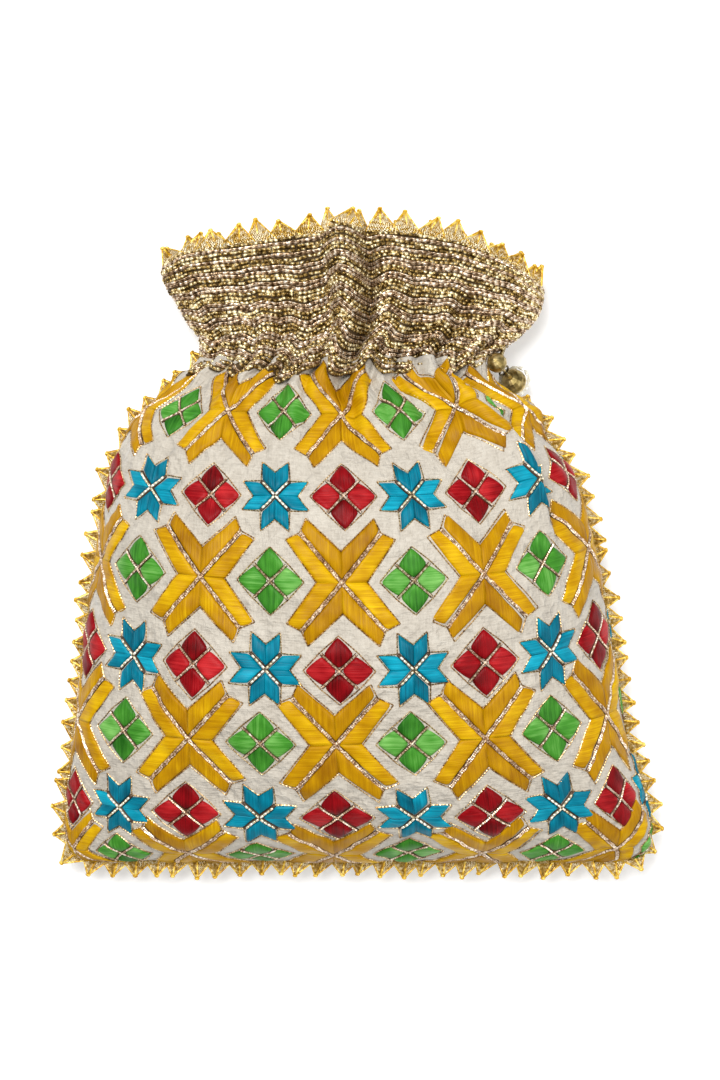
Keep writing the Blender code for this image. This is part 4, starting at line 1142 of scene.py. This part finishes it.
def makeSeamTrim():
    feet = seamFeet()
    middles, spans = (feet[:-1] + feet[1:]) / 2, feet[1:] - feet[:-1]
    ways = unit(spans)
    ups = np.tile((0.0, 0.0, 1.0), (len(ways), 1))
    outs = unit(np.cross(ways, ups))
    level = ways[:, 0].clip(0, 1) ** 4
    reaches = trim["sideReach"] + (trim["baseReach"] - trim["sideReach"]) * level
    x, y, spread, more = trim["corner"]  # the points are longer at both bottom corners
    near = np.exp(-(((np.abs(feet[1:, 0]) - x) / spread) ** 2) - (((feet[1:, 1] - y) / spread) ** 2))
    makePoints("seamPoints", middles + outs * trim["sideOut"], ways, outs, ups, np.linalg.norm(spans, axis=1),
               reaches * (1 + more * near), trim["lean"], "seam_trim")


def rimPoint(share, up=1.0):
    return collarPoint(share, up, inset=trim["mouthInset"])


def makeMouthTrim():
    share = np.linspace(0, 1, 1201)
    arc = arcLength(rimPoint(share))
    count = int(arc[-1] / trim["mouthPitch"])
    here = np.interp((np.arange(count) + 0.5) * arc[-1] / count, arc, share)
    feet = rimPoint(here)
    ways = unit(rimPoint(here + 0.003) - rimPoint(here - 0.003))
    outs = unit(feet - rimPoint(here, 0.88))
    outs = unit(outs - ways * np.sum(outs * ways, 1, keepdims=True))
    pitches, reaches = np.full(count, trim["mouthPitch"]), np.full(count, trim["mouthReach"])
    makePoints("mouthPoints", feet + outs * trim["mouthOut"], ways, outs, unit(np.cross(outs, ways)),
               pitches, reaches, trim["mouthLean"], "mouth_trim")


makeSeamTrim()
makeMouthTrim()
print("ribbon trim made")

# What hangs at the neck keeps its solids, with better finishes

for node, look in (("cord_bead", "antique"), ("pendant_bell", "antique"), ("wire_link", "darkWire"),
                   ("pendant_band", "crystal"), ("drawstring", "antique")):
    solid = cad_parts[node]
    solid.data.materials.clear()
    solid.data.materials.append(finish[look])
print("hardware finished")

# Camera, light and floor


def makeCamera():
    data = bpy.data.cameras.new("camera")
    data.lens, data.sensor_width, data.sensor_fit = shot["lens"], shot["sensor"], "AUTO"
    camera = bpy.data.objects.new("camera", data)
    perPixel = shot["millimetresPerPixel"] / 1000
    wide, high = shot["picture"]
    x = (wide / 2 - shot["originPixel"][0]) * perPixel
    y = (shot["originPixel"][1] - high / 2) * perPixel
    distance = high * perPixel * shot["lens"] / shot["sensor"]
    camera.location = (x, y, distance + shot["focusHeight"])
    bpy.context.scene.collection.objects.link(camera)
    bpy.context.scene.camera = camera


def makeLights():
    world = bpy.data.worlds.new("studio")
    bpy.context.scene.world = world
    world.use_nodes = True
    tree = world.node_tree
    background = tree.nodes["Background"]
    path = tree.nodes.new("ShaderNodeLightPath")
    seen = tree.nodes.new("ShaderNodeMath")
    seen.operation = "MAXIMUM"
    tree.links.new(path.outputs["Is Camera Ray"], seen.inputs[0])
    tree.links.new(path.outputs["Is Transmission Ray"], seen.inputs[1])
    strength = tree.nodes.new("ShaderNodeMapRange")
    strength.inputs["To Min"].default_value = light["world"]
    strength.inputs["To Max"].default_value = 1.0
    tree.links.new(seen.outputs[0], strength.inputs["Value"])
    tree.links.new(strength.outputs[0], background.inputs["Strength"])
    background.inputs["Color"].default_value = (1.0, 1.0, 1.0, 1.0)
    for name in ("key", "fill"):
        lamp = bpy.data.lights.new(name, "AREA")
        lamp.energy, lamp.size = light[name + "Power"], light[name + "Size"]
        made = bpy.data.objects.new(name, lamp)
        made.location = light[name + "Place"]
        made.rotation_euler = (-Vector(light[name + "Place"])).to_track_quat("-Z", "Y").to_euler()
        bpy.context.scene.collection.objects.link(made)


def makeFloor():
    bm = bmesh.new()
    bmesh.ops.create_grid(bm, x_segments=1, y_segments=1, size=light["floorSize"])
    bmesh.ops.translate(bm, verts=bm.verts, vec=(0, 0, -light["floorDrop"]))
    mesh = meshOf("floor", bm)
    floor = bpy.data.objects.new("floor", mesh)
    bpy.context.scene.collection.objects.link(floor)
    paint = Paint("paleFloor", Roughness=0.9, Base_Color=light["floorColour"],
                  Emission_Color=light["floorColour"], Emission_Strength=light["floorGlow"])
    mesh.materials.append(paint.material)


makeCamera()
makeLights()
makeFloor()
bpy.context.scene.view_settings.view_transform = "Standard"
print("stage set")
